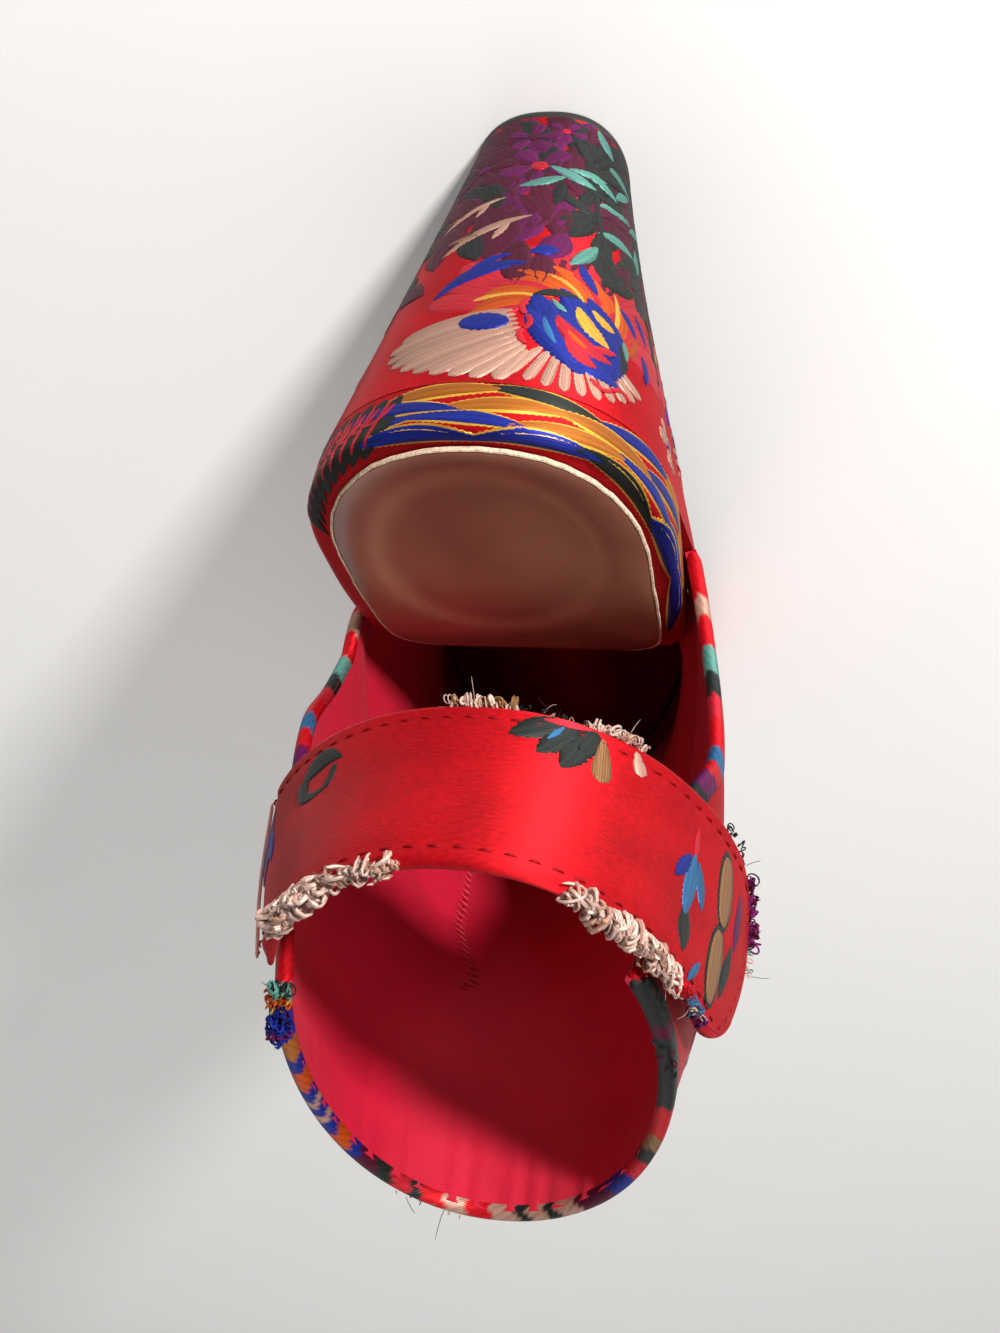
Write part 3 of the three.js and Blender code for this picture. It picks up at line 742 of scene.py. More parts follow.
@lru_cache(None)
def moulded_finish(name, colour, roughness):
    """Rubber or sole resin: a fine pebbled skin with paler scuffs."""
    finish = Finish(name)
    place = finish.place()
    pebble = finish.noise(place, 2.4, 2.0)
    scuff = finish.noise(place, 0.22, 5.0).above(0.56, 0.72)
    worn = tuple(min(1.0, c * 2.2 + 0.02) for c in colour)
    return finish.done(
        Base_Color=finish.mix(scuff * 0.5, colour, worn),
        Roughness=roughness + scuff * 0.15,
        Normal=finish.bump(pebble, 0.08, 0.5),
    )


# An end row whose two halves lie this close is folded on itself, in millimetres
FOLDED = 0.001
# Colour of points that carry no thread
WHITE = (1, 1, 1)


class Shape:
    """Collects the faces of one piece, with coordinates in millimetres and colours, and makes its mesh."""

    def __init__(self):
        self.points = []
        self.colours = []
        self.faces = []
        self.uvs = []
        self.count = 0

    def add_points(self, points, colour=WHITE):
        """Adds a grid of points and returns their numbers."""
        points = np.asarray(points, float)
        numbers = self.count + np.arange(points[..., 0].size).reshape(points.shape[:-1])
        self.points.append(points.reshape(-1, 3))
        self.colours.append(np.broadcast_to(np.asarray(colour, float), points.shape).reshape(-1, 3))
        self.count += numbers.size
        return numbers

    def quads(self, corners, uvs):
        """Adds four-cornered faces: corners (n, 4), coordinates (n, 4, 2)."""
        self.faces.append(np.asarray(corners).reshape(-1, 4))
        self.uvs.append(np.asarray(uvs, float).reshape(-1, 4, 2))

    def grid(self, numbers, uv, flip=False):
        """Adds the faces of a grid of point numbers."""
        def four(g):
            corner = [g[:-1, :-1], g[:-1, 1:], g[1:, 1:], g[1:, :-1]]
            return np.stack(corner[::-1] if flip else corner, axis=2)

        self.quads(four(numbers), four(np.asarray(uv, float)))

    def sheet(self, points, uv, flip=False):
        """Adds a grid of points with its faces."""
        numbers = self.add_points(points)
        self.grid(numbers, uv, flip)
        return numbers

    def tube(self, points, uv, colour=WHITE, flip=False):
        """Adds rows of points that are each closed into a loop; uv has one column more."""
        numbers = self.add_points(points, colour)
        self.grid(looped(numbers, 1), uv, flip)
        return numbers

    def slab(self, outer, inner, uv, flip=False):
        """Adds a closed plate between two grids; an end row folded on itself needs no rim."""
        outer, inner = np.asarray(outer), np.asarray(inner)
        top = self.sheet(outer, uv, flip)
        low = self.sheet(inner, uv, not flip)
        rims = [(0, slice(None)), (slice(None), -1), (-1, slice(None)), (slice(None), 0)]
        for i, rim in enumerate(rims):
            if np.allclose(outer[rim], outer[rim][::-1], atol=FOLDED):
                continue
            pair = np.stack([low[rim], top[rim]])
            along = lengths(outer[rim], 0)
            tall = np.linalg.norm(outer[rim] - inner[rim], axis=-1)
            side = np.stack([np.stack([along, 0 * tall], axis=-1), np.stack([along, tall], axis=-1)])
            self.grid(pair, side, flip != (i >= 2))

    def fan(self, loop, uv, centre, flip=False, colour=WHITE):
        """Closes a loop of point numbers with triangles to its middle point."""
        middle = self.add_points(np.asarray(centre, float)[None], colour)[0]
        after = np.roll(loop, -1)
        order = (after, loop) if flip else (loop, after)
        corners = np.stack([*order, np.full(len(loop), middle), np.full(len(loop), middle)], axis=1)
        self.quads(corners, np.broadcast_to(np.asarray(uv, float), (len(loop), 4, 2)))

    def close_ends(self, numbers, centres, flip=False, colours=(WHITE, WHITE), uv=(0, 0)):
        """Closes the first and the last loop of a tube."""
        self.fan(numbers[0], uv, centres[0], not flip, colours[0])
        self.fan(numbers[-1], uv, centres[-1], flip, colours[-1])

    def piece(self, name, material, replaces=(), sharp=40.0):
        """Makes the object: welded, smooth apart from edges sharper than an angle, riding on the shoe."""
        points = placed(np.concatenate(self.points))
        faces = np.concatenate(self.faces)
        mesh = bpy.data.meshes.new(name)
        mesh.from_pydata(points.tolist(), [], [list(dict.fromkeys(f)) for f in faces.tolist()])
        four_cornered = faces[:, 2] != faces[:, 3]
        corners = [uv if four else uv[:3] for uv, four in zip(np.concatenate(self.uvs), four_cornered)]
        layer = mesh.uv_layers.new(name="weave")
        layer.data.foreach_set("uv", np.concatenate(corners).ravel())
        colour = mesh.color_attributes.new("threads", "FLOAT_COLOR", "POINT")
        tint = np.concatenate(self.colours)
        colour.data.foreach_set("color", np.hstack([tint, np.ones((len(tint), 1))]).ravel())
        weld(mesh)
        mesh.shade_smooth()
        mesh.set_sharp_from_angle(angle=math.radians(sharp))
        mesh.materials.append(material)
        made = bpy.data.objects.new(name, mesh)
        bpy.context.scene.collection.objects.link(made)
        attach(made, "root")
        if replaces:
            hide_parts(*replaces)


# Points closer than this are joined, in metres
WELD = 0.002 * MM


def weld(mesh):
    """Joins points that lie on each other, drops faces without area and turns the rest outwards."""
    work = bmesh.new()
    work.from_mesh(mesh)
    bmesh.ops.remove_doubles(work, verts=work.verts, dist=WELD)
    bmesh.ops.dissolve_degenerate(work, edges=work.edges, dist=WELD)
    bmesh.ops.recalc_face_normals(work, faces=work.faces)
    work.to_mesh(mesh)
    work.free()


def sweep(path, sideways, upward, profile):
    """Profile points (sideways, upward) carried along a path."""
    profile = np.asarray(profile, float)
    side = np.asarray(sideways)[:, None, :] * profile[None, :, :1]
    up = np.asarray(upward)[:, None, :] * profile[None, :, 1:]
    return np.asarray(path)[:, None, :] + side + up


def sweep_uv(path, count, apart=1.0):
    """Coordinates for a swept profile: along the path, and round the profile."""
    along = lengths(np.asarray(path), 0)[:, None]
    around = apart * np.arange(count + 1, dtype=float)[None, :]
    return np.stack(np.broadcast_arrays(along, around), axis=-1)


def grown_row(y, grow):
    """Same row on an outline that is grown outwards: only the heel's back and the toe move."""
    heel = -grow + (SEAT_DEPTH + grow) * y / SEAT_DEPTH
    toe = BALL_Y + (SOLE_LENGTH + grow - BALL_Y) * (y - BALL_Y) / (SOLE_LENGTH - BALL_Y)
    return np.where(y < SEAT_DEPTH, heel, np.where(y > BALL_Y, toe, y))


def eased(start, end, count):
    """Places from start to end that lie closer together at the end."""
    return start + (end - start) * np.sin(np.linspace(0, math.pi / 2, count + 1))[1:]


# Rows of a plate on the footbed: round the heel, step along the waist, round the toe
SEAT_ROWS, WAIST_STEP, BALL_ROWS = 22, 2.2, 26
SOLE_ROWS = np.concatenate([
    eased(SEAT_DEPTH, 0, SEAT_ROWS)[::-1], np.arange(SEAT_DEPTH, BALL_Y, WAIST_STEP),
    eased(BALL_Y, SOLE_LENGTH, BALL_ROWS),
])
# Its columns between the edges, as shares of the half width
ACROSS = np.linspace(-0.86, 0.86, 13)


def plate(rows, half, along, edges, top, bottom):
    """Top and bottom grids of a plate on the foot's bed; edges are (inset, drop) from the outside in."""
    inset, drop = np.array(edges, float).T
    middle = np.full(len(ACROSS), inset[-1])
    insets = np.concatenate([inset, middle, inset[::-1]])
    drops = np.concatenate([drop, 0 * middle, drop[::-1]])
    share = np.concatenate([-np.ones(len(inset)), ACROSS, np.ones(len(inset))])
    y = along(np.asarray(rows, float)[:, None], -insets)
    x = middle_x(y) + share * half(y, -insets, share)
    return np.stack([x, y, top(y) - drops], axis=-1), np.stack([x, y, bottom(y)], axis=-1)


def round_edge(radius, steps=6):
    """Quarter circle as (inset, drop)."""
    turn = np.linspace(0, math.pi / 2, steps)
    return list(zip(radius * (1 - np.cos(turn)), radius * (1 - np.sin(turn))))


def toe_room(y):
    """How far the insole draws in behind the closed toe."""
    return TOE_ROOM * smooth(y, BALL_Y, BALL_Y + TOE_ROOM_RUN)


def insole_half(y, grow, side=0):
    return sole_half(y, grow - toe_room(y))


def insole_along(y, grow):
    return grown_row(y, grow - toe_room(y))


# Covered rim: how far forward it runs, its columns on each half and its rows, its flat step beside the sock
BAND_FRONT = 74.0
BAND_LONG, BAND_HIGH = 60, 12
BAND_FLAT = 1.6


@lru_cache(None)
def band_surface():
    """Covered rim of the heel seat, from its lower edge over its round top to the sock; u = 0 at the back."""
    round_back = eased(SEAT_DEPTH, 0, BAND_LONG)[::-1]
    half_rows = np.concatenate([round_back, np.linspace(SEAT_DEPTH, BAND_FRONT, BAND_LONG)[1:]])
    y = np.concatenate([half_rows[::-1], half_rows[1:]])
    side = np.where(np.arange(len(y)) < len(half_rows), -1.0, 1.0)
    rows = []
    for share in np.linspace(0, 1, BAND_HIGH):
        x = middle_x(y) + side * sole_half(y, 0)
        top = bed_z(y) - RIM_RADIUS
        rows.append(np.stack([x, y, seat_z(y) + (top - seat_z(y)) * share], axis=-1))
    for inset, drop in round_edge(RIM_RADIUS)[1:] + [(RIM_RADIUS + BAND_FLAT, 0), (SOCK_INSET, 0)]:
        inner = grown_row(y, -inset)
        x = middle_x(inner) + side * sole_half(inner, -inset)
        rows.append(np.stack([x, inner, bed_z(inner) - drop], axis=-1))
    return Skin(np.array(rows), len(half_rows) - 1)


def inner_wall(depth):
    """The upper's skin moved inwards, level along its lower edge so that it meets the sole."""
    surface = upper_surface()
    normals = surface.normals.copy()
    for i, (_, _, _, foot_y) in enumerate(upper_rows()):
        for column, start in ((0, QUARTER_OUTER), (-1, QUARTER_INNER)):
            if foot_y is not None and foot_y >= start:
                normals[i, column, 2] = 0
    return surface.points - depth * unit(normals)


# Worn upper edge of the outsole: inset, drop
OUTSOLE_ROUND = ((0, 0.9), (0.25, 0.35), (0.9, 0))


class SHOE_OT_outsole(bpy.types.Operator):
    """Thin dark sole from the toe to the heel's breast"""

    bl_idname = "shoe.outsole"
    bl_label = "Outsole"

    def execute(self, context):
        grown = LEDGE + OUTSOLE_EDGE
        rear = HEEL_FRONT_Y + GAP
        top, bottom = plate(
            np.concatenate([[rear], SOLE_ROWS[SOLE_ROWS > rear]]),
            lambda y, grow, side: sole_half(y, grow + grown * ledge(y, side)),
            lambda y, grow: grown_row(y, grow + grown),
            OUTSOLE_ROUND,
            lambda y: seat_z(y) - GAP,
            lambda y: seat_z(y) - GAP - OUTSOLE_THICKNESS,
        )
        shape = Shape()
        shape.slab(top, bottom, top[..., :2])
        finish = moulded_finish("sole_resin", tuple(cloth().resin), roughness=0.5)
        shape.piece("outsole_resin", finish, ["outsole"])
        return {"FINISHED"}


# Rings that close the heel above and below, as shares of its outline
CAP_RINGS = (1, 0.85, 0.6, 0.35, 0.1)


class SHOE_OT_heel(bpy.types.Operator):
    """Tall tapered block heel wrapped in brocade"""

    bl_idname = "shoe.heel"
    bl_label = "Heel"

    def execute(self, context):
        skin = heel_surface()
        shape = Shape()
        shape.tube(skin.points[:, :-1], skin.uv())
        top, base = skin.points[-1, :-1], skin.points[0, :-1]
        middle = np.array([TIP_X, TIP_Y, base[0, 2]])
        rings, feet = [], []
        for share in CAP_RINGS:
            y = SEAT_DEPTH + (top[:, 1] - SEAT_DEPTH) * share
            rings.append(np.stack([top[:, 0] * share, y, seat_z(y) - GAP], axis=-1))
            feet.append(middle + (base - middle) * share)
        for ring, flip, centre in ((rings, False, (0, SEAT_DEPTH)), (feet, True, (TIP_X, TIP_Y))):
            ring = np.array(ring)
            numbers = shape.tube(ring, looped(ring[..., :2], 1), flip=flip)
            shape.fan(numbers[-1], centre, (*centre, ring[-1, :, 2].mean()), flip)
        shape.piece("heel_cover", red_satin("heel_satin"), ["heel"], sharp=35.0)
        return {"FINISHED"}


# Levels of the rubber tip: share of its outline, height
TIP_LEVELS = (
    (0.88, 0.0), (0.955, 0.0), (0.985, 0.25), (1.0, 0.9), (1.0, TIP_HEIGHT - 0.7), (0.985, TIP_HEIGHT - 0.15),
    (0.95, TIP_HEIGHT),
)
TIP_SIDES = 160


class SHOE_OT_heel_tip(bpy.types.Operator):
    """Black rubber top piece under the heel"""

    bl_idname = "shoe.heel_tip"
    bl_label = "Heel tip"

    def execute(self, context):
        outline, _ = heel_outlines(np.linspace(-math.pi, math.pi, TIP_SIDES + 1)[:-1])
        middle = np.array([TIP_X, TIP_Y])
        rings = []
        for share, z in TIP_LEVELS:
            flat = middle + (outline - middle) * share
            rings.append(np.column_stack([flat, np.full(len(flat), z)]))
        rings = np.array(rings)
        shape = Shape()
        numbers = shape.tube(rings, looped(rings[..., :2], 1))
        shape.close_ends(numbers, [(*middle, z) for _, z in TIP_LEVELS], uv=middle)
        finish = moulded_finish("tip_rubber", tuple(cloth().rubber), roughness=0.55)
        shape.piece("heel_tip_rubber", finish, ["heel_tip"])
        return {"FINISHED"}


class SHOE_OT_insole(bpy.types.Operator):
    """Wrapped footbed whose covered rim shows round the heel seat"""

    bl_idname = "shoe.insole"
    bl_label = "Insole"

    def execute(self, context):
        top, bottom = plate(SOLE_ROWS, insole_half, insole_along, round_edge(RIM_RADIUS), bed_z, seat_z)
        shape = Shape()
        shape.slab(top, bottom, top[..., :2])
        shape.piece("insole_cover", red_satin("insole_satin"), ["insole"], sharp=50.0)
        return {"FINISHED"}


# Heel sock: inset and drop from its edge inwards, rows round its front
SOCK_INSETS = ((0, 0.5), (0.25, 0.12), (0.8, 0), (3, 0), (6, 0), (9, 0), (12, 0))
SOCK_FRONT_ROWS = 26
# Slope of its pressed oval, as shares of the oval's size
PRESS_INSIDE, PRESS_OUTSIDE = 0.88, 1.08
# Section of its cut edge: outwards, upwards; and how far the cut wanders
CUT_SECTION = ((0.05, 0.0), (0.16, 0.6), (0.1, 1.0), (0.0, 1.12), (-0.3, 1.06), (-0.3, 0.2))
CUT_WANDER = 0.12


class SHOE_OT_heel_sock(bpy.types.Operator):
    """Tan leather heel sock with a pressed oval and a raw cream edge"""

    bl_idname = "shoe.heel_sock"
    bl_label = "Heel sock"

    def execute(self, context):
        round_from = SOCK_FRONT_Y - SOCK_ROUND
        front_rows = eased(round_from, SOCK_FRONT_Y, SOCK_FRONT_ROWS)
        rows = np.concatenate([SOLE_ROWS[SOLE_ROWS < round_from], [round_from], front_rows])

        def half(y, grow, side=0):
            front = closing((y - round_from) / SOCK_ROUND, SOCK_ROUND_FULLNESS)
            return sole_half(y, grow - SOCK_INSET) * front

        def along(y, grow):
            return grown_row(y, grow - SOCK_INSET)

        def under(y):
            return bed_z(y) + GAP

        top, bottom = plate(rows, half, along, SOCK_INSETS, lambda y: under(y) + SOCK_THICKNESS, under)
        beside, ahead = top[..., 0] - PRESS_X, top[..., 1] - PRESS_Y
        oval = np.hypot(beside / PRESS_HALF_WIDTH, ahead / PRESS_HALF_LENGTH)
        top[..., 2] -= cloth().press / MM * (1 - smooth(oval, PRESS_INSIDE, PRESS_OUTSIDE))
        shape = Shape()
        shape.slab(top, bottom, top[..., :2])
        shape.piece("heel_sock_leather", leather_finish(), ["heel_sock"])
        y = along(rows, 0)
        outer_side = np.stack([middle_x(y) - half(y, 0), y], axis=-1)
        inner_side = np.stack([middle_x(y) + half(y, 0), y], axis=-1)
        path = np.concatenate([outer_side[::-1], inner_side[1:-1]])
        path = np.column_stack([path, bed_z(path[:, 1]) + GAP])
        way = np.roll(path, -1, axis=0) - np.roll(path, 1, axis=0)
        outward = unit(np.stack([-way[:, 1], way[:, 0], 0 * way[:, 0]], axis=-1))
        chance = random.Random(sewing().seed)
        wander = np.array([chance.uniform(-CUT_WANDER, CUT_WANDER) for _ in path])[:, None]
        up = np.broadcast_to((0.0, 0.0, 1.0), path.shape)
        edge = Shape()
        points = sweep(path + outward * wander, outward, up, CUT_SECTION)
        edge.tube(looped(points), sweep_uv(looped(path), len(CUT_SECTION)))
        edge.piece("heel_sock_edge", edge_finish())
        return {"FINISHED"}


# Where the brocade ends and the lining begins in the wall, and how dark the lining's weave goes
COVER_DEPTH = 1.0
LINING_GAP = 0.05
LINING_DEEP = 0.8
# Puckers of the lining: their middle along the collar, how far they spread beside it and below it
PUCKER_MIDDLE, PUCKER_SIDE, PUCKER_REACH = 8, 46.0, 15.0


def pucker(u, from_collar):
    """Depth of the lining's upright folds, strongest under the front of the collar."""
    uneven = 0.9 * np.sin(u * 0.14)
    folds = 0.6 * np.sin(u * 1.18 + uneven) + 0.4 * np.sin(u * 1.72 + 1.3)
    front = np.exp(-((u - PUCKER_MIDDLE) / PUCKER_SIDE) ** 2)
    return cloth().pucker / MM * folds * front * np.exp(-from_collar / PUCKER_REACH)


@lru_cache(None)
def lining_surface():
    """Inside face of the lining, with its puckers."""
    outer = upper_surface()
    from_collar = np.broadcast_to((outer.v[-1] - outer.v)[:, None], outer.u.shape)
    grid = inner_wall(WALL) - outer.normals * pucker(outer.u, from_collar)[..., None]
    return Skin(grid, UPPER_COLUMNS // 2)


class SHOE_OT_upper(bpy.types.Operator):
    """Brocade upper and its crimson lining"""

    bl_idname = "shoe.upper"
    bl_label = "Upper and lining"

    def execute(self, context):
        skin = upper_surface()
        cover = Shape()
        cover.slab(skin.points, inner_wall(COVER_DEPTH), skin.uv(), True)
        cover.piece("upper_cover", red_satin("upper_satin"), ["upper"], sharp=50.0)
        lining = Shape()
        lining.slab(inner_wall(COVER_DEPTH + LINING_GAP), lining_surface().points, skin.uv(), True)
        crimson = tuple(cloth().lining)
        deep = tuple(c * LINING_DEEP for c in crimson)
        finish = satin("lining_satin", crimson, deep, shine=0.66, metal=0.05, drawn=0.4)
        lining.piece("upper_lining", finish, sharp=50.0)
        return {"FINISHED"}


# Colours of the folded edge from the collar's outer end round the front: share where each ends, colour
COLLAR_RUN = (
    (0.07, "leaf"), (0.09, "wine"), (0.2, "leaf"), (0.25, "ground"), (0.275, "tan"), (0.3, "leaf"),
    (0.33, "ground"), (0.37, "royal"), (0.42, "wine"), (0.45, "cream"), (0.465, "leaf"), (0.485, "cream"),
    (0.5, "leaf"), (0.53, "cream"), (0.56, "ground"), (0.585, "cream"), (0.615, "ground"), (0.63, "leaf"),
    (0.655, "rose"), (0.68, "leaf"), (0.71, "wine"), (0.725, "royal"), (0.755, "orange"), (0.775, "royal"),
    (0.785, "cream"), (0.8, "royal"), (0.81, "cream"), (0.83, "royal"), (0.86, "orange"), (0.88, "royal"),
    (0.915, "gold"), (0.955, "royal"), (0.975, "orange"), (0.99, "rose"), (1.0, "teal"),
)
# Colours of the back edges from the sole up
QUARTER_RUN = (
    (0.1, "ground"), (0.14, "cream"), (0.2, "ground"), (0.26, "teal"), (0.31, "leaf"), (0.36, "rose"),
    (0.42, "ground"), (0.46, "sky"), (0.5, "ground"), (0.55, "purple"), (0.6, "leaf"), (0.64, "cream"),
    (1.0, "ground"),
)
# Section of the folded edge: inwards from the edge, outwards from the skin
BINDING_PROFILE = (
    (3.4, 0.1), (3.2, 0.34), (2.0, 0.44), (0.9, 0.44), (0.1, 0.26), (-0.42, -0.2), (-0.6, -0.9),
    (-0.46, -1.5), (0.0, -1.98), (0.6, -2.16), (1.2, -2.14), (1.3, -1.8), (0.7, -1.2), (1.3, -0.2),
)
BINDING_STEP_LENGTH = 0.7
BINDING_APART = 0.6
# Its ends are drawn in to this share of their section over this length
BINDING_END, BINDING_END_LENGTH = 0.55, 1.6
# Slant of the borders between its colours: turn from point to point of the section, share of the length
BORDER_TURN, BORDER_SLANT = 1.3, 0.004


def thread_colour(name):
    """Colour of a thread, or the satin's own."""
    return np.array(tuple(cloth().ground) if name == "ground" else tuple(getattr(threads(), name)))


def run_colours(run, share, count):
    """Colours along a folded edge, with slightly slanting borders between them."""
    ends = np.array([end for end, _ in run])
    palette = np.array([thread_colour(name) for _, name in run])
    slant = np.sin(np.arange(count) * BORDER_TURN)[None, :] * BORDER_SLANT
    place = np.clip(share[:, None] + slant, 0, 1)
    return palette[np.minimum(np.searchsorted(ends, place), len(run) - 1)]


def resampled(rows, step):
    """Rows of matching points, laid out again at even steps along the first row."""
    along = lengths(rows[0], 0)
    places = np.linspace(0, along[-1], max(8, int(along[-1] / step)))
    return [np.stack([np.interp(places, along, row[:, k]) for k in range(3)], axis=-1) for row in rows]


def binding(name, edge, normals, inward, run):
    """Folded edge of the upper: a rounded strip over the wall's edge, in runs of brocade colour."""
    edge, normals, inward = resampled([edge, normals, inward], BINDING_STEP_LENGTH)
    points = sweep(edge, unit(inward), unit(normals), BINDING_PROFILE)
    along = lengths(edge, 0)
    from_end = np.minimum(along, along[-1] - along)
    drawn_in = np.maximum(BINDING_END, closing(1 - from_end / BINDING_END_LENGTH, 2))[:, None, None]
    middle = points.mean(axis=1, keepdims=True)
    points = middle + (points - middle) * drawn_in
    count = len(BINDING_PROFILE)
    colours = run_colours(run, along / along[-1], count)
    shape = Shape()
    numbers = shape.tube(points, sweep_uv(edge, count, BINDING_APART), colours, True)
    shape.close_ends(numbers, middle[:, 0], True, colours[:, 0])
    shape.piece(name, thread_finish("binding_brocade", slant=0.6), sharp=60.0)


class SHOE_OT_bindings(bpy.types.Operator):
    """Folded brocade edges along the collar and down both back edges"""

    bl_idname = "shoe.bindings"
    bl_label = "Folded edges"

    def execute(self, context):
        skin = upper_surface()
        foot = [foot_y for _, _, _, foot_y in upper_rows() if foot_y is not None]
        inner_start = sum(1 for y in foot if y >= QUARTER_INNER)
        collar = skin.points[-1]
        binding("collar_binding", collar, skin.normals[-1], skin.points[-3] - collar, COLLAR_RUN)
        for side, column, beside, start in (("outer", 0, 2, len(foot)), ("inner", -1, -3, inner_start)):
            edge = skin.points[start:, column]
            inward = skin.points[start:, beside] - edge
            binding("quarter_binding_" + side, edge, skin.normals[start:, column], inward, QUARTER_RUN)
        return {"FINISHED"}


# Strap: its columns, and how much closer they stand at the tab
STRAP_COLUMNS, STRAP_CLOSER = 220, 1.2
# Points across its face, round each edge and across its back
STRAP_FACE, STRAP_EDGE, STRAP_BACK = 26, 9, 12
# Dent along its stitches: depth, half width
DENT, DENT_HALF = 0.22, 0.7
# Its sewn end: length, share of the thickness there; its tab's end: length, least share of the thickness
STRAP_LAP, STRAP_LAP_SHARE = 5.0, 0.45
STRAP_BLUNT, STRAP_BLUNT_SHARE = 2, 0.15
# How much its swell changes along its length, by a short and a long wave in radians per millimetre
STRAP_WAVE, SHORT_WAVE, LONG_WAVE = 0.12, 0.9, 0.23


def strap_profile():
    """Closed outline across the strap: (height share, depth share, swell in millimetres)."""
    width = STRAP_TOP - STRAP_BOTTOM
    radius = STRAP_THICKNESS / 2 / width
    line = sewing().inset / MM / width
    rise = np.linspace(radius, 1 - radius, STRAP_FACE)
    near = np.minimum(np.abs(rise - line), np.abs(rise - (1 - line))) * width
    swell = STRAP_CROWN * np.sin(math.pi * rise) - DENT * np.exp(-((near / DENT_HALF) ** 2))
    turn = np.linspace(0, math.pi, STRAP_EDGE)[1:-1]
    top = [(1 - radius + radius * math.sin(t), 0.5 + 0.5 * math.cos(t), 0) for t in turn]
    low = [(radius - radius * math.sin(t), 0.5 - 0.5 * math.cos(t), 0) for t in turn]
    outer = [(v, 1.0, s) for v, s in zip(rise, swell)]
    inner = [(v, 0.0, 0.0) for v in np.linspace(1 - radius, radius, STRAP_BACK)]
    return outer + top + inner + low


class SHOE_OT_strap(bpy.types.Operator):
    """Wide satin ankle strap, from its sewn end round the back to the rounded tab"""

    bl_idname = "shoe.strap"
    bl_label = "Ankle strap"

    def execute(self, context):
        around = 1 - (1 - np.linspace(0, 1, STRAP_COLUMNS + 1)) ** STRAP_CLOSER
        turn, along, to_end, width, flare = strap_run(around)
        blunt = closing(1 - to_end / (STRAP_THICKNESS / 2), 2)
        sewn = STRAP_LAP_SHARE + (1 - STRAP_LAP_SHARE) * smooth(along, 0, STRAP_LAP)
        thick = STRAP_THICKNESS * np.maximum(STRAP_BLUNT_SHARE, np.minimum(blunt, sewn))
        wave = STRAP_WAVE * np.sin(along * SHORT_WAVE) * np.sin(along * LONG_WAVE + 1)
        half_thick = np.where(to_end < STRAP_BLUNT, STRAP_THICKNESS / 2, thick / 2)
        centre = GAP + BINDING_STEP + flare + half_thick
        rows = []
        for share, depth, swell in strap_profile():
            out = centre + (depth - 0.5) * thick + swell + wave * swell
            rows.append(on_ankle(turn, strap_level(share, width), out))
        grid = np.array(rows).transpose(1, 0, 2)
        across = lengths(looped(grid[0]), 0)
        uv = np.stack(np.broadcast_arrays(along[:, None], across[None, :]), axis=-1)
        shape = Shape()
        numbers = shape.tube(grid, uv)
        shape.close_ends(numbers, grid.mean(axis=1))
        shape.piece("ankle_strap_cover", red_satin("strap_satin"), ["ankle_strap"], sharp=60.0)
        return {"FINISHED"}


# Width along a raised petal, from its base at 0 to its tip at 1
OUTLINES = {
    "petal": lambda t: t**0.55 * np.sqrt(np.maximum(0, 1 - t**5)),
    "leaf": lambda t: np.sin(math.pi * np.clip(t, 0, 1)) ** 0.8,
    "oval": lambda t: np.sqrt(np.maximum(0, 1 - (2 * t - 1) ** 2)),
    "line": lambda t: np.sqrt(np.maximum(0, 1 - np.abs(2 * t - 1) ** 10)),
    "blade": lambda t: np.sqrt(np.minimum(1, 5 * t)) * (0.6 + 0.4 * t) * np.sqrt(np.maximum(0, 1 - t**9)),
    "comma": lambda t: np.minimum(1, np.sqrt(t / 0.15)) * np.maximum(0, 1 - t) ** 0.6,
}
# Section across a petal: place between its edges, height share; its edges sink into the satin
PETAL_SECTION = ((-1.0, 0.0), (-0.92, 0.75), (-0.4, 1.0), (0.4, 1.0), (0.92, 0.75), (1.0, 0.0))
PETAL_SHARES, PETAL_DOME = np.array(PETAL_SECTION).T
PETAL_STEP, PETAL_ROWS = 0.55, 8
PETAL_SINK = 0.08
# Deepest teeth as a share of the half width, half width with the full height, range of the tints
TOOTH_SHARE, FULL_HALF, TINTS = 0.3, 0.5, (0.85, 1.12)
# Height of a layer; petals laid one after the other differ a little too, so that no two faces meet
LAYER = 0.035
STAGGER, LATER = 20, 0.003


def stroke(kind, colour, width, start, bend, end, layer=0, tooth=0.3):
    """One raised petal: its outline, colour and width, and the three points of its middle line."""
    return {
        "kind": kind, "colour": colour, "width": width, "layer": layer, "tooth": tooth,
        "points": np.array([start, bend, end], float),
    }


def straight(kind, colour, width, start, end, layer=0, tooth=0.3, sag=0.0):
    """Petal on a straight or slightly bowed line."""
    start, end = np.array(start, float), np.array(end, float)
    across = np.array([start[1] - end[1], end[0] - start[0]])
    return stroke(kind, colour, width, start, (start + end) / 2 + across * sag, end, layer, tooth)


def moved(strokes, place, turn=0.0, size=1.0, mirror=False):
    """Same petals at another place, turned, sized or mirrored."""
    angle = math.radians(turn)
    spin = np.array([[math.cos(angle), -math.sin(angle)], [math.sin(angle), math.cos(angle)]])
    flip = np.array([-1.0 if mirror else 1.0, 1.0])
    out = []
    for s in strokes:
        points = (s["points"] * flip * size) @ spin.T + np.array(place, float)
        out.append({**s, "points": points, "width": s["width"] * size})
    return out


def left_handed(skin):
    """Whether u, v and the normal of a surface run the other way round."""
    row, column = skin.points.shape[0] // 2, skin.points.shape[1] // 2
    here = skin.points[row, column]
    along, up = skin.points[row, column + 1] - here, skin.points[row + 1, column] - here
    return np.dot(np.cross(along, up), skin.normals[row, column]) < 0


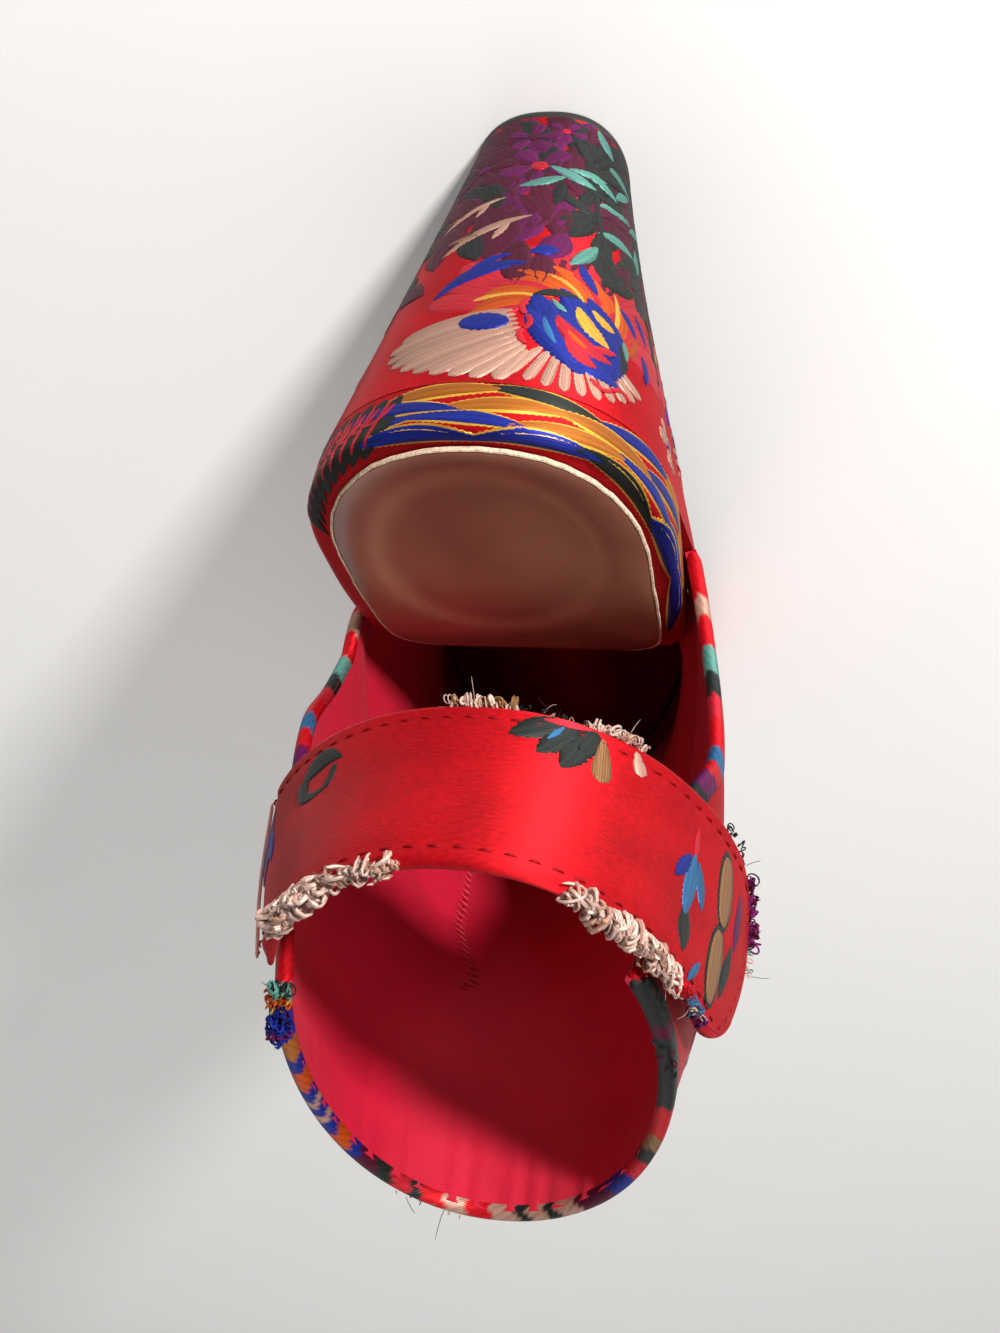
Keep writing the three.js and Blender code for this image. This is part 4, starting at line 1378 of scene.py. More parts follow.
def embroider(name, skin, strokes):
    """Lays raised petals on a surface and makes them one piece."""
    relief, tooth = threads().relief / MM, threads().tooth / MM
    chance = random.Random(name)
    flat, heights, tints, coords = [], [], [], []
    for k, s in enumerate(strokes):
        start, bend, end = s["points"]
        long = np.linalg.norm(bend - start) + np.linalg.norm(end - bend)
        t = np.linspace(0, 1, max(PETAL_ROWS, int(long / PETAL_STEP)))[:, None]
        line = (1 - t) ** 2 * start + 2 * t * (1 - t) * bend + t**2 * end
        ahead = unit(np.gradient(line, axis=0))
        side = np.stack([-ahead[:, 1], ahead[:, 0]], axis=-1)
        steps = np.abs(((t[:, 0] * long / tooth) % 1) - 0.5) * 2
        half = s["width"] / 2 * OUTLINES[s["kind"]](t[:, 0])
        half = (half - np.minimum(s["tooth"], TOOTH_SHARE * half) * steps)[:, None]
        across = half * PETAL_SHARES
        flat.append(line[:, None, :] + side[:, None, :] * across[..., None])
        full = np.minimum(1, half / FULL_HALF)
        raised = relief * full * PETAL_DOME + s["layer"] * LAYER + k % STAGGER * LATER
        heights.append(np.where(PETAL_DOME > 0, raised, -PETAL_SINK))
        tints.append(np.minimum(1, thread_colour(s["colour"]) * chance.uniform(*TINTS)))
        coords.append(np.stack(np.broadcast_arrays(t * long, looped(across, 1)), axis=-1))
    everywhere = np.concatenate(flat)
    points, normals = skin.at(everywhere[..., 0], everywhere[..., 1])
    points = points + normals * np.concatenate(heights)[..., None]
    shape = Shape()
    ends = np.cumsum([len(rows) for rows in flat])
    flip = not left_handed(skin)
    for petal, uv, tint in zip(np.split(points, ends[:-1]), coords, tints):
        shape.tube(petal, uv, tint, flip)
    shape.piece(name, thread_finish("raised_thread"), sharp=70.0)


def ray(turn, radius):
    """Point at an angle from the u axis and a distance."""
    return radius * np.array([math.cos(math.radians(turn)), math.sin(math.radians(turn))])


# Ends of the flower's long cream petals, in millimetres from the middle of its core
WING_TIPS = (
    (10, 18.7), (14, 18.4), (17.6, 17.7), (21, 16.7), (24.2, 15.4), (27, 13.7), (29.4, 11.6), (31, 9.2),
    (31, 6.4), (29, 3.8),
)
# Blue strokes on the flower's rose skirt: width, start, bend, end
SKIRT_STROKES = (
    (4.4, (25, -8), (18, -17), (9.5, -17.5)), (2.4, (20, -14), (17, -19), (12.5, -20.5)),
    (4.2, (4.6, -23), (7, -23), (9.6, -21)), (2.8, (0.6, -21), (-1, -17), (-4, -13)),
    (2.6, (-8.5, -14), (-12, -12.5), (-14, -8.5)), (2.8, (-16, -6), (-18.5, -3), (-18, 2)),
    (2.2, (-13, -17), (-16, -14), (-18, -11)),
)
# Ragged patches of the core: colour, width, start, bend, end
CORE_PATCHES = (
    ("royal", 10.0, (7, -8), (3, 2), (-3, 13)), ("royal", 10.0, (3, -11), (-5, -2), (-3, 13)),
    ("royal", 10.0, (-2, -11), (-10, -1), (-8, 12)), ("royal", 8.0, (8, -3), (0, 9), (-11, 11)),
    ("leaf", 2.6, (7.4, -7), (4, -10), (-1, -9.4)), ("teal", 1.6, (4, -7), (2.4, -4.4), (1, -4)),
    ("leaf", 3.0, (-9, -3), (-12.4, 2), (-10.6, 7)), ("teal", 1.8, (-10, -5), (-12, -1), (-11.6, 2)),
    ("yellow", 4.4, (-0.6, -7), (-2.4, -1), (-8, 1.5)), ("yellow", 2.8, (-3, -8), (-6, -4.6), (-8.6, -4.4)),
    ("royal", 1.5, (-3.6, -4.4), (-5.4, -2.4), (-7.6, -2.2)),
    ("rose", 5.4, (2.6, -2.4), (-0.6, 5.4), (-8.8, 5.6)), ("rose", 4.0, (0.6, 2), (-2, 9), (-6, 9)),
    ("rose", 2.4, (-4, 3.6), (-7, 3), (-9.4, 1.8)), ("orange", 1.6, (0.6, 1), (-1.4, 4), (-4, 5)),
    ("sky", 1.6, (4.6, -1), (4, 3), (1.6, 6.6)),
)
# Wavy rose outline of the core: points in turn
CORE_EDGE = (
    ((7.6, -6), (9.6, -3.4), (7.6, -0.8)), ((7.6, -0.8), (5.8, 1.4), (7.4, 3.6)),
    ((7.4, 3.6), (8.8, 6), (6.4, 8)), ((-5, 12.4), (-7.4, 15.6), (-9.6, 12.8)),
    ((-9.6, 12.8), (-11.4, 10), (-13.4, 12.6)),
)
# Turns of the skirt's, the flames' and the fan's petals; the core's radius and the fan's
SKIRT_TURNS, FLAME_TURNS, FAN_TURNS = range(190, 352, 13), range(176, 346, 10), np.linspace(152, 64, 10)
CORE_REACH, FAN_REACH = 8.5, 18.8
FLAME_COLOURS = ("orange", "rose", "orange", "yellow", "orange")


def fan_flower():
    """Half-open blossom: cream fan and wing, blue and rose core, flames and a rose skirt."""
    petals = []
    for turn in SKIRT_TURNS:
        petals.append(straight("petal", "rose", 9.0, ray(turn, 9), ray(turn, 25.5 + turn % 3), 0, 0.6))
    for row in SKIRT_STROKES:
        petals.append(stroke("leaf", "royal", *row, 3, 0.4))
    for k, turn in enumerate(FLAME_TURNS):
        colour = FLAME_COLOURS[k % len(FLAME_COLOURS)]
        ends = ray(turn, CORE_REACH), ray(turn + 16, 14), ray(turn + 42, 17 + 2 * (k % 2))
        petals.append(stroke("leaf", colour, 2.0 if colour == "yellow" else 5.0, *ends, 1, 0.5))
    for turn in FAN_TURNS:
        petals.append(straight("blade", "cream", 2.6, ray(turn, CORE_REACH), ray(turn, FAN_REACH), 2, 0.15))
    for k, tip in enumerate(WING_TIPS):
        petals.append(straight("blade", "cream", 3.7, (6 + 0.4 * k, 9.4 - 1.27 * k), tip, 2, 0.15, 0.03))
    petals.append(straight("oval", "royal", 14.0, (-9.6, 1), (6.6, 1), 4, 0.8))
    for k, row in enumerate(CORE_PATCHES):
        petals.append(stroke("leaf", *row, 4 + k // 4, 0.7))
    for line in CORE_EDGE:
        petals.append(stroke("line", "rose", 1.3, *line, 6, 0.2))
    petals.append(straight("oval", "royal", 6.2, (10.0, 1.6), (18.6, 2.4), 4, 0.6))
    return petals


def blossom(colour, core, size=1.0):
    """Small five-petalled blossom."""
    petals = []
    for turn in range(18, 378, 72):
        petals.append(straight("petal", colour, 5.2 * size, ray(turn, 0.8 * size), ray(turn, 6.6 * size), 1))
    petals.append(straight("oval", core, 2.8 * size, (-1.4 * size, 0), (1.4 * size, 0), 3, 0))
    return petals


# Leaves of a sprig: place on the stem, turn; and their length
SPRIG = ((-13, 205), (-8, 330), (-3, 200), (2, 325), (7, 190), (12, 60), (14, 120))
SPRIG_LEAF = 11


def leaf_sprig():
    """Teal and dark leaves on a stem."""
    leaves = [stroke("line", "leaf", 1.2, (0, -16), (2, 0), (-2, 14), 1, 0)]
    for k, (v, turn) in enumerate(SPRIG):
        start = np.array([0.6, v])
        colour = "teal" if k % 3 else "leaf"
        leaves.append(straight("leaf", colour, 3.6, start, start + ray(turn, SPRIG_LEAF), 2, 0.4, 0.1))
    return leaves


def twig():
    """Cream forked twig."""
    return [
        straight("leaf", "cream", 2.4, (0, 0), (16, 8), 2, 0.5, -0.08),
        straight("leaf", "cream", 1.8, (4, 2), (7, 7), 2, 0.4),
        straight("leaf", "tan", 1.6, (8, 4.5), (15, 4), 2, 0.4),
    ]


# Foliage: distance between its leaves along u and v, how far they stray, height over which it thins out
LEAF_APART, LEAF_STRAY = (5.0, 4.3), (1.4, 1.0)
LEAF_FADE, LEAF_THINNED = 18.0, 0.85
# How far a leaf turns, its half length and its width
LEAF_TURN, LEAF_REACH, LEAF_WIDTH = 34, (5, 7), (5.5, 7.5)


def foliage(low_u, high_u, low_v, high_v, lean, colours):
    """Broad overlapping leaves that fill a rectangle and thin out towards its top."""
    chance = random.Random(sewing().seed + low_u + low_v)
    leaves = []
    for v in np.arange(low_v, high_v, LEAF_APART[1]):
        for u in np.arange(low_u, high_u, LEAF_APART[0]):
            if chance.random() < LEAF_THINNED * (v - high_v + LEAF_FADE) / LEAF_FADE:
                continue
            at = np.array([u, v]) + [chance.uniform(-stray, stray) for stray in LEAF_STRAY]
            reach = ray(lean + chance.uniform(-LEAF_TURN, LEAF_TURN), chance.uniform(*LEAF_REACH))
            width = chance.uniform(*LEAF_WIDTH)
            leaves.append(straight("leaf", chance.choice(colours), width, at - reach, at + reach, 0, 0.5))
    return leaves


def edged(colour, border, width, start, bend, end, layer=0):
    """Leaf with a stepped border in a second colour."""
    return [
        stroke("leaf", border, width + 1.3, start, bend, end, layer, 0.6),
        stroke("leaf", colour, width, start, bend, end, layer + 1, 0.1),
    ]


def strewn(motif, rows):
    """A motif at each place of a table: u, v, then turn, size and whether it is mirrored."""
    petals = []
    for u, v, *rest in rows:
        petals += moved(motif, (u, v), *rest)
    return petals


# Leaves over the lower heel: from u, to u, lean, colours; and their lowest and highest place
# The dark carpet of leaves is partly the brocade's own dark foliage and partly painted shade: it makes the
# heel darker towards its bottom
HEEL_LEAVES = (
    (-56, -28, 115, ("leaf", "wine", "leaf")),
    (-28, -8, 62, ("leaf", "leaf", "leaf", "wine")),
    (-8, 6, 100, ("wine", "purple", "leaf", "wine")),
    (6, 28, 120, ("wine", "wine", "leaf", "wine")),
    (28, 56, 70, ("leaf", "wine", "leaf")),
)
HEEL_LEAVES_FROM, HEEL_LEAVES_TO = 2.2, 60
# Motifs over them, each with its place on the heel: u, v, turn, size, mirrored
HEEL_SPRIGS = (
    (-15, 33, 6, 1.0), (-13, 15, -30, 0.9), (-20, 24, 40, 0.8), (-90, 76, 10, 0.8), (88, 52, 10, 0.8),
)
HEEL_TWIGS = ((-3, 40, 8, 1.1), (3, 33, 4, 0.8), (42, 42, 60, 1.0), (-44, 42, 130, 1.0))
HEEL_FLOWERS = ((62, 64, -12, 0.9), (-66, 60, 14, 0.9, True), (-13.6, 74.6))
# Blossoms among the leaves and above them: colour, core, size, u, v, turn
LOW_BLOSSOMS = (
    ("purple", "rose", 1.25, -1.6, 21, 0), ("purple", "wine", 0.9, 1, 9, 30),
    ("purple", "rose", 0.7, -5, 6, 10), ("wine", "purple", 1.2, 10, 19, 20),
)
HIGH_BLOSSOMS = (
    ("cream", "royal", 1.0, 34, 76, 0), ("rose", "yellow", 1.0, 36, 56, 0),
    ("cream", "royal", 1.0, -44, 82, 0), ("rose", "yellow", 1.0, -42, 52, 20),
    ("orange", "royal", 1.0, 88, 82, 0),
)


def heel_petals():
    """Brocade of the heel: dark leaves below, partly painted shade that darkens the heel towards its bottom,
    one flower on the back and one on each side.
    """
    petals = []
    for low_u, high_u, lean, colours in HEEL_LEAVES:
        petals += foliage(low_u, high_u, HEEL_LEAVES_FROM, HEEL_LEAVES_TO, lean, colours)
    petals += strewn(leaf_sprig(), HEEL_SPRIGS)
    for colour, core, size, *place in LOW_BLOSSOMS:
        petals += strewn(blossom(colour, core, size), [place])
    petals += strewn(twig(), HEEL_TWIGS)
    for colour, core, size, *place in HIGH_BLOSSOMS:
        petals += strewn(blossom(colour, core, size), [place])
    return petals + strewn(fan_flower(), HEEL_FLOWERS)


# Long leaves of the rim: height of each row and its colours in turn; distance between leaves, length, start
BAND_ROWS = (
    (2.3, ("gold", "royal", "leaf")), (5.4, ("royal", "gold", "gold")), (8.6, ("royal", "gold", "royal")),
    (11.6, ("royal", "leaf", "royal")),
)
BAND_APART, BAND_LEAF, BAND_START = 18.0, 24.0, -7
# Where the dark leaves with squiggles begin and end, and where single leaves follow
BAND_DARK = (15, 40)
BAND_SINGLE, SINGLE_COLOURS = range(52, 80, 10), ("gold", "royal", "teal")


def band_petals():
    """Brocade of the covered rim: long blue and gold leaves, then dark leaves with rose squiggles."""
    petals = []
    for j, (v, colours) in enumerate(BAND_ROWS):
        for k in range(-4, 1):
            u = BAND_APART * (k + 0.37 * j % 1) + BAND_START
            slant = 1.3 if (j + k) % 2 else -1.1
            ends = (u, v + slant), (u + BAND_LEAF / 2, v - 1.2), (u + BAND_LEAF, v - slant)
            petals += edged(colours[k % len(colours)], "yellow", 3.1, *ends, j % 2 * 2)
    for u in range(BAND_DARK[0], BAND_DARK[1], 3):
        petals.append(straight("leaf", "leaf", 6.0, (u - 4, 1.2), (u + 3, 13), 4))
    for u in range(BAND_DARK[0], BAND_DARK[1] + 2, 3):
        squiggle = (u - 3, 3 + u % 3), (u + 1, 12 - u % 4), (u + 4, 5)
        petals.append(stroke("line", "rose", 0.8, *squiggle, 6, 0))
        petals.append(straight("line", "rose", 0.7, (u - 2, 2), (u + 2, 11), 6, 0))
    for u, colour in zip(BAND_SINGLE, SINGLE_COLOURS):
        petals += edged(colour, "yellow", 3.0, (u - 6, 3), (u, 8), (u + 7, 6))
    return petals


# Curl on the strap: outline, colour, width, start, bend, end, layer, tooth
STRAP_CURL = (
    ("leaf", "leaf", 5.0, (-29.6, 6.6), (-36.0, 2.8), (-38.8, 9.0), 1, 0.4),
    ("comma", "leaf", 4.0, (-38.4, 6.6), (-38.8, 14.0), (-31.0, 11.6), 1, 0.3),
    ("line", "leaf", 1.6, (-32.4, 12.0), (-30.2, 9.6), (-31.4, 7.4), 1, 0.2),
)
# Its leaves and petals: outline, colour, width, start, end, layer, tooth
STRAP_LEAVES = (
    ("petal", "tan", 4.8, (10.4, 1.8), (10.8, 10.6), 1, 0.2),
    ("petal", "cream", 3.6, (16.0, 1.2), (17.4, 5.4), 1, 0.2),
    ("leaf", "leaf", 5.6, (8.6, 1.0), (4.6, 10.6), 0, 1.0),
    ("leaf", "leaf", 5.2, (6.6, 1.0), (0.8, 8.6), 0, 1.0),
    ("leaf", "leaf", 5.0, (4.6, 1.0), (-3.6, 5.6), 0, 1.0),
    ("leaf", "leaf", 5.0, (9.4, 1.0), (7.2, 6.6), 0, 1.0),
    ("leaf", "sky", 1.2, (4.4, 2.0), (2.0, 5.4), 2, 0.2),
    ("leaf", "rose", 1.6, (8.6, 1.2), (1.0, 1.6), 2, 0.2),
    ("leaf", "sky", 3.8, (30.8, 11.0), (30.6, 25.0), 1, 0.5),
    ("leaf", "sky", 3.0, (31.8, 12.0), (35.0, 20.0), 1, 0.5),
    ("leaf", "royal", 3.0, (29.8, 12.0), (26.8, 19.0), 1, 0.5),
    ("leaf", "leaf", 4.2, (30.6, 22.0), (32.2, 31.0), 0, 0.5),
    ("leaf", "rose", 1.6, (30.8, 6.0), (30.8, 12.5), 0, 0.2),
    ("oval", "leaf", 7.0, (41.6, 17.6), (43.8, 33.4), 0, 0.5),
    ("oval", "tan", 5.6, (41.8, 18.4), (43.6, 32.6), 1, 0.2),
    ("oval", "leaf", 6.8, (40.6, 3.8), (42.4, 18.4), 0, 0.5),
    ("oval", "tan", 5.4, (40.8, 4.6), (42.2, 17.6), 1, 0.2),
    ("leaf", "leaf", 4.0, (47.8, 17.0), (47.2, 29.0), 0, 0.5),
    ("leaf", "purple", 3.6, (48.4, 6.5), (48.8, 18.0), 0, 0.5),
    ("leaf", "sky", 2.0, (38.0, 28.5), (35.4, 34.2), 1, 0.3),
    ("leaf", "purple", 4.4, (-50.4, 5.0), (-50.2, 21.0), 0, 0.5),
    ("leaf", "royal", 3.0, (-50.4, 8.0), (-53.0, 17.0), 1, 0.5),
    ("leaf", "royal", 3.0, (-50.2, 9.0), (-46.8, 18.0), 1, 0.5),
)
# Flowers of the upper: u, v, turn, size, mirrored
UPPER_FLOWERS = (
    (2, 64, 90, 1.15, False), (-34, 120, 60, 1.05, True), (32, 128, 120, 1.05, False),
    (-6, 178, 80, 1.1, False), (-50, 192, 100, 0.9, True), (50, 194, 70, 0.9, False),
)
# Sprigs and twigs: u, v, turn
UPPER_SPRIGS = (
    (-26, 78, 40), (28, 84, -30), (0, 122, 10), (-8, 30, 80), (-24, 152, 20), (26, 162, -20), (-56, 152, 15),
    (54, 158, -10), (22, 210, 60), (-30, 212, -50),
)
UPPER_TWIGS = ((12, 104, 30), (-16, 134, 150), (40, 154, 60), (-44, 160, 120), (14, 198, 20))
# Blossoms: u, v, colour, core
UPPER_BLOSSOMS = (
    (18, 46, "rose", "yellow"), (-22, 48, "purple", "sky"), (-2, 98, "orange", "royal"),
    (-52, 130, "rose", "yellow"), (52, 134, "purple", "sky"), (14, 150, "cream", "royal"),
    (-30, 174, "purple", "sky"), (26, 182, "orange", "royal"), (6, 16, "cream", "royal"),
    (-42, 92, "cream", "royal"), (42, 100, "rose", "yellow"), (2, 214, "purple", "sky"),
)


def strap_petals():
    """Few motifs on the strap's plain satin."""
    return [stroke(*row) for row in STRAP_CURL] + [straight(*row) for row in STRAP_LEAVES]


def upper_petals():
    """Brocade of the upper: flowers over vamp and quarters, with leaves and blossoms between them."""
    petals = strewn(leaf_sprig(), UPPER_SPRIGS)
    for u, v, colour, core in UPPER_BLOSSOMS:
        petals += moved(blossom(colour, core), (u, v))
    return petals + strewn(twig(), UPPER_TWIGS) + strewn(fan_flower(), UPPER_FLOWERS)


def on_surface(petals, skin, margin):
    """Petals that lie on a surface, clear of its side edges and turned along its lower and upper edge."""
    kept = []
    for s in petals:
        u, v = s["points"].T
        room = margin + s["width"] / 2
        level = np.clip(v, skin.v[0] + margin, skin.v[-1] - margin)
        rows = np.clip(np.searchsorted(skin.v, level), 0, len(skin.v) - 1)
        beside = np.all(u > skin.u[rows, 0] + room) and np.all(u < skin.u[rows, -1] - room)
        if beside and skin.v[0] < v[1] < skin.v[-1]:
            kept.append({**s, "points": np.stack([u, level], axis=-1)})
    return kept


# How far the petals stay from the edges of each surface
HEEL_MARGIN, RIM_MARGIN, UPPER_MARGIN = 0.4, 0.3, 3.0


class SHOE_OT_brocade(bpy.types.Operator):
    """Raised brocade petals and leaves on heel, rim, strap and upper"""

    bl_idname = "shoe.brocade"
    bl_label = "Raised brocade"

    def execute(self, context):
        heel, rim, upper = heel_surface(), band_surface(), upper_surface()
        embroider("heel_petals", heel, on_surface(heel_petals(), heel, HEEL_MARGIN))
        embroider("rim_petals", rim, on_surface(band_petals(), rim, RIM_MARGIN))
        embroider("strap_petals", strap_surface(), strap_petals())
        embroider("upper_petals", upper, on_surface(upper_petals(), upper, UPPER_MARGIN))
        return {"FINISHED"}


# Direction that no thread follows, to find its sides by; and how thin its ends are
ASIDE = (0.31, 0.52, 0.79)
THREAD_END = 0.4


def thread_tube(shape, line, radius, colour, sides=5):
    """Thin thread along a line of points, with narrowed, closed ends."""
    line = np.asarray(line, float)
    ahead = unit(np.gradient(line, axis=0))
    side = unit(np.cross(ahead, ASIDE))
    up = np.cross(side, ahead)
    turn = np.linspace(0, 2 * math.pi, sides, endpoint=False)
    thin = np.full(len(line), radius)
    thin[[0, -1]] *= THREAD_END
    ring = np.column_stack([np.cos(turn), np.sin(turn)])
    points = sweep(line, side * thin[:, None], up * thin[:, None], ring)
    numbers = shape.tube(points, sweep_uv(line, sides), colour)
    shape.close_ends(numbers, line, colours=(colour, colour))


# Height of a stitch along its length: its ends sink into the cloth
STITCH_LIFT = np.array([-0.35, -0.04, 0.02, -0.04, -0.35])


def stitch_row(shape, skin, u, v, colour):
    """Running stitches along (u, v) places."""
    step, long, radius = sewing().step / MM, sewing().stitch / MM, sewing().thread / MM / 2
    along = lengths(np.stack([u, v], axis=-1), 0)
    for start in np.arange(0, along[-1] - long, step):
        at = np.linspace(start, start + long, len(STITCH_LIFT))
        points, normals = skin.at(np.interp(at, along, u), np.interp(at, along, v))
        thread_tube(shape, points + normals * STITCH_LIFT[:, None], radius, colour)


# Stitch lines of the strap: where they stop before its sewn end and its tab, reach and bend of their round
LINE_FROM_SEWN, LINE_FROM_TAB = 2, 9
LINE_ROUND, LINE_BEND = 6, 0.7
# Points along the lines, their round, the sewn end and the seam
LINE_POINTS, ROUND_POINTS, SEWN_POINTS, SEAM_POINTS = 90, 30, 40, 60
# Thread over the sewn end: beside the lines, margin above and below, lift, radius
SEWN_BESIDE, SEWN_MARGIN, SEWN_LIFT, SEWN_RADIUS = 1.2, 1.5, 0.05, 0.3
SEWN_COLOUR = "e0a09a"
# Seam up the lining: places (u, v) along it, its radius and colour, and the rungs across it
SEAM_LINE = Curves("v u", (118, 18), (134, 17), (150, 15.4), (164, 16.4), (176, 18))
SEAM_V = (118.0, 176.0)
SEAM_RADIUS = 0.35
SEAM_BRIGHT, SEAM_PALE = 1.2, 0.02
RUNG_STEP, RUNG_HALF, RUNG_LIFT, RUNG_RADIUS = 2.1, 1.9, 0.22, 0.3


class SHOE_OT_stitches(bpy.types.Operator):
    """Running stitches on the strap, its sewn end, and the lining's seam"""

    bl_idname = "shoe.stitches"
    bl_label = "Stitches"

    def execute(self, context):
        skin = strap_surface()
        inset = sewing().inset / MM
        tall = skin.v[-1]
        red = np.array(tuple(cloth().ground_deep))
        middle = skin.u[STRAP_MIDDLE_ROW]
        start, end = middle.min() + LINE_FROM_SEWN, middle.max() - LINE_FROM_TAB
        shape = Shape()
        u = np.linspace(start, end, LINE_POINTS)
        for v in (inset, tall - inset):
            stitch_row(shape, skin, u, np.full(u.shape, v), red)
        turn = np.linspace(-math.pi / 2, math.pi / 2, ROUND_POINTS)
        level = tall / 2 + (tall / 2 - inset) * np.sin(turn)
        stitch_row(shape, skin, end + LINE_ROUND * np.cos(turn) ** LINE_BEND, level, red)
        shape.piece("strap_stitches", thread_finish("sewing_thread"))
        seam = Shape()
        v = np.linspace(SEWN_MARGIN, tall - SEWN_MARGIN, SEWN_POINTS)
        points, normals = skin.at(start - SEWN_BESIDE, v)
        thread_tube(seam, points + normals * SEWN_LIFT, SEWN_RADIUS, linear(SEWN_COLOUR), sides=6)
        seam.piece("strap_sewn_seam", thread_finish("sewing_thread"))
        inside = lining_surface()
        ladder = Shape()
        crimson = np.minimum(1, np.array(tuple(cloth().lining)) * SEAM_BRIGHT + SEAM_PALE)
        across = np.linspace(-RUNG_HALF, RUNG_HALF, len(STITCH_LIFT))
        for v in np.arange(*SEAM_V, RUNG_STEP):
            points, normals = inside.at(SEAM_LINE("u", v) + across, v)
            thread_tube(ladder, points + normals * (STITCH_LIFT + RUNG_LIFT)[:, None], RUNG_RADIUS, crimson)
        v = np.linspace(*SEAM_V, SEAM_POINTS)
        points, _ = inside.at(SEAM_LINE("u", v), v)
        thread_tube(ladder, points, SEAM_RADIUS, crimson, sides=6)
        ladder.piece("lining_seam", thread_finish("sewing_thread"))
        return {"FINISHED"}


# Mixes of the frayed threads' colours
PALE = ("bleached", "bleached", "cream")
PALER = ("bleached", "bleached", "cream", "bleached", "bleached")
DARK = ("leaf", "leaf", "wine")
PLUM = ("purple", "purple", "wine")
# Frayed stretches: edge, from, to, number of loops, loop size, colours
FRAYS = (
    ("strap top", 32, 9, 74, 1.9, PALER),
    ("strap top", -14, -26, 32, 1.6, PALE),
    ("strap top", -26, -39, 52, 2.1, PALER),
    ("strap low", 18, 8, 34, 1.0, PALE),
    ("strap low", 8, -3, 12, 0.6, ("leaf", "leaf", "cream")),
    ("strap low", -3, -13, 36, 1.1, ("bleached", "bleached", "tan")),
    ("strap top", 33, 37, 12, 0.9, ("rose", "ground")),
    ("strap top", 37, 42, 18, 0.9, ("sky", "bleached", "sky")),
    ("strap top", 42, 45, 8, 0.7, ("royal", "purple")),
    ("strap low", 40, 50, 14, 0.7, DARK),
    ("strap low", 53, 58.6, 34, 1.2, PLUM),
    ("tab", 6, 0.5, 24, 1.2, PLUM),
    ("tab", 13, 6, 12, 0.6, ("teal", "bleached", "teal")),
    ("collar", 63, 70, 60, 1.4, ("royal", "royal", "purple", "royal")),
    ("collar", 70, 73.4, 26, 1.1, ("orange", "yellow", "rose")),
    ("collar", 73.4, 75, 14, 1.2, ("teal", "bleached", "leaf")),
    ("collar", -62, -54, 8, 0.6, DARK),
    ("collar", 8, 22, 8, 0.4, ("leaf", "rose", "cream")),
)
# Loops: points, radius and thread as shares of the loop size, turns, brightness, height, drift, lean
LOOP_POINTS = 15
LOOP_RADIUS, LOOP_THREAD = (0.4, 1.0), (0.1, 0.21)
LOOP_TURNS, LOOP_BRIGHT = (1.0, 1.7), (0.95, 1.4)
LOOP_HEIGHT, LOOP_DRIFT, LOOP_LEAN = 0.75, 0.6, 0.4
# Wisps: how many, points, length, radius, how far they spread and bend
WISPS, WISP_POINTS = 36, 8
WISP_LENGTH, WISP_RADIUS = (1.5, 4.0), 0.055
WISP_SPREAD, WISP_BEND = 0.5, 1.2


# How far in and out of an edge its threads begin
FRAY_DEPTH = {"collar": (-1.6, 0.7), "tab": (-1.2, 0.4), "strap top": (-1.6, 0.4), "strap low": (-1.6, 0.4)}
# How far inside the strap's and the tab's edge they stand, and how far they lean out
STRAP_FRAY, TAB_FRAY, FRAY_LEAN = 0.2, 0.4, 0.6
UPWARDS = np.array([0.0, 0.0, 1.0])


def fray_place(edge, where, chance):
    """Point on a frayed edge and the direction in which its threads stand."""
    skin = upper_surface() if edge == "collar" else strap_surface()
    places = {
        "collar": (where, skin.v[-1]),
        "tab": (skin.u[STRAP_MIDDLE_ROW].max() - TAB_FRAY, where),
        "strap top": (where, skin.v[-1] - STRAP_FRAY),
        "strap low": (where, STRAP_FRAY),
    }
    point, normal = skin.at(*places[edge])
    ways = {
        "collar": UPWARDS,
        "tab": normal,
        "strap top": unit(UPWARDS + FRAY_LEAN * normal),
        "strap low": unit(-UPWARDS + FRAY_LEAN * normal),
    }
    return point + normal * chance.uniform(*FRAY_DEPTH[edge]), ways[edge]


def scattered(chance, size):
    """Random small step in any direction."""
    return np.array([chance.gauss(0, size) for _ in range(3)])


class SHOE_OT_frays(bpy.types.Operator):
    """Curled loops and wisps of frayed thread on the strap's and collar's edges"""

    bl_idname = "shoe.frays"
    bl_label = "Frayed threads"

    def execute(self, context):
        chance = random.Random(sewing().seed)
        shape = Shape()
        for edge, start, end, count, size, colours in FRAYS:
            for k in range(count):
                point, out = fray_place(edge, start + (end - start) * (k + chance.random()) / count, chance)
                colour = np.minimum(1, thread_colour(chance.choice(colours)) * chance.uniform(*LOOP_BRIGHT))
                first = unit(scattered(chance, 1.0) + LOOP_LEAN * out)
                second = unit(np.cross(first, out))
                radius = size * chance.uniform(*LOOP_RADIUS)
                turn = np.linspace(0, chance.uniform(*LOOP_TURNS) * 2 * math.pi, LOOP_POINTS)[:, None]
                curl = out * radius * (1 - np.cos(turn)) * LOOP_HEIGHT + first * radius * np.sin(turn)
                drift = second * np.linspace(-LOOP_DRIFT, LOOP_DRIFT, LOOP_POINTS)[:, None] * radius
                thread = size * chance.uniform(*LOOP_THREAD)
                thread_tube(shape, point + curl + drift, thread, colour, sides=6)
        for _ in range(WISPS):
            edge, start, end, _, _, colours = chance.choice(FRAYS)
            point, out = fray_place(edge, chance.uniform(start, end), chance)
            t = np.linspace(0, 1, WISP_POINTS)[:, None]
            way = unit(out + scattered(chance, WISP_SPREAD)) * chance.uniform(*WISP_LENGTH)
            line = point + way * t + scattered(chance, WISP_BEND) * t**2
            thread_tube(shape, line, WISP_RADIUS, thread_colour(chance.choice(colours)), sides=4)
        shape.piece("frayed_threads", thread_finish("fray_thread"))
        return {"FINISHED"}


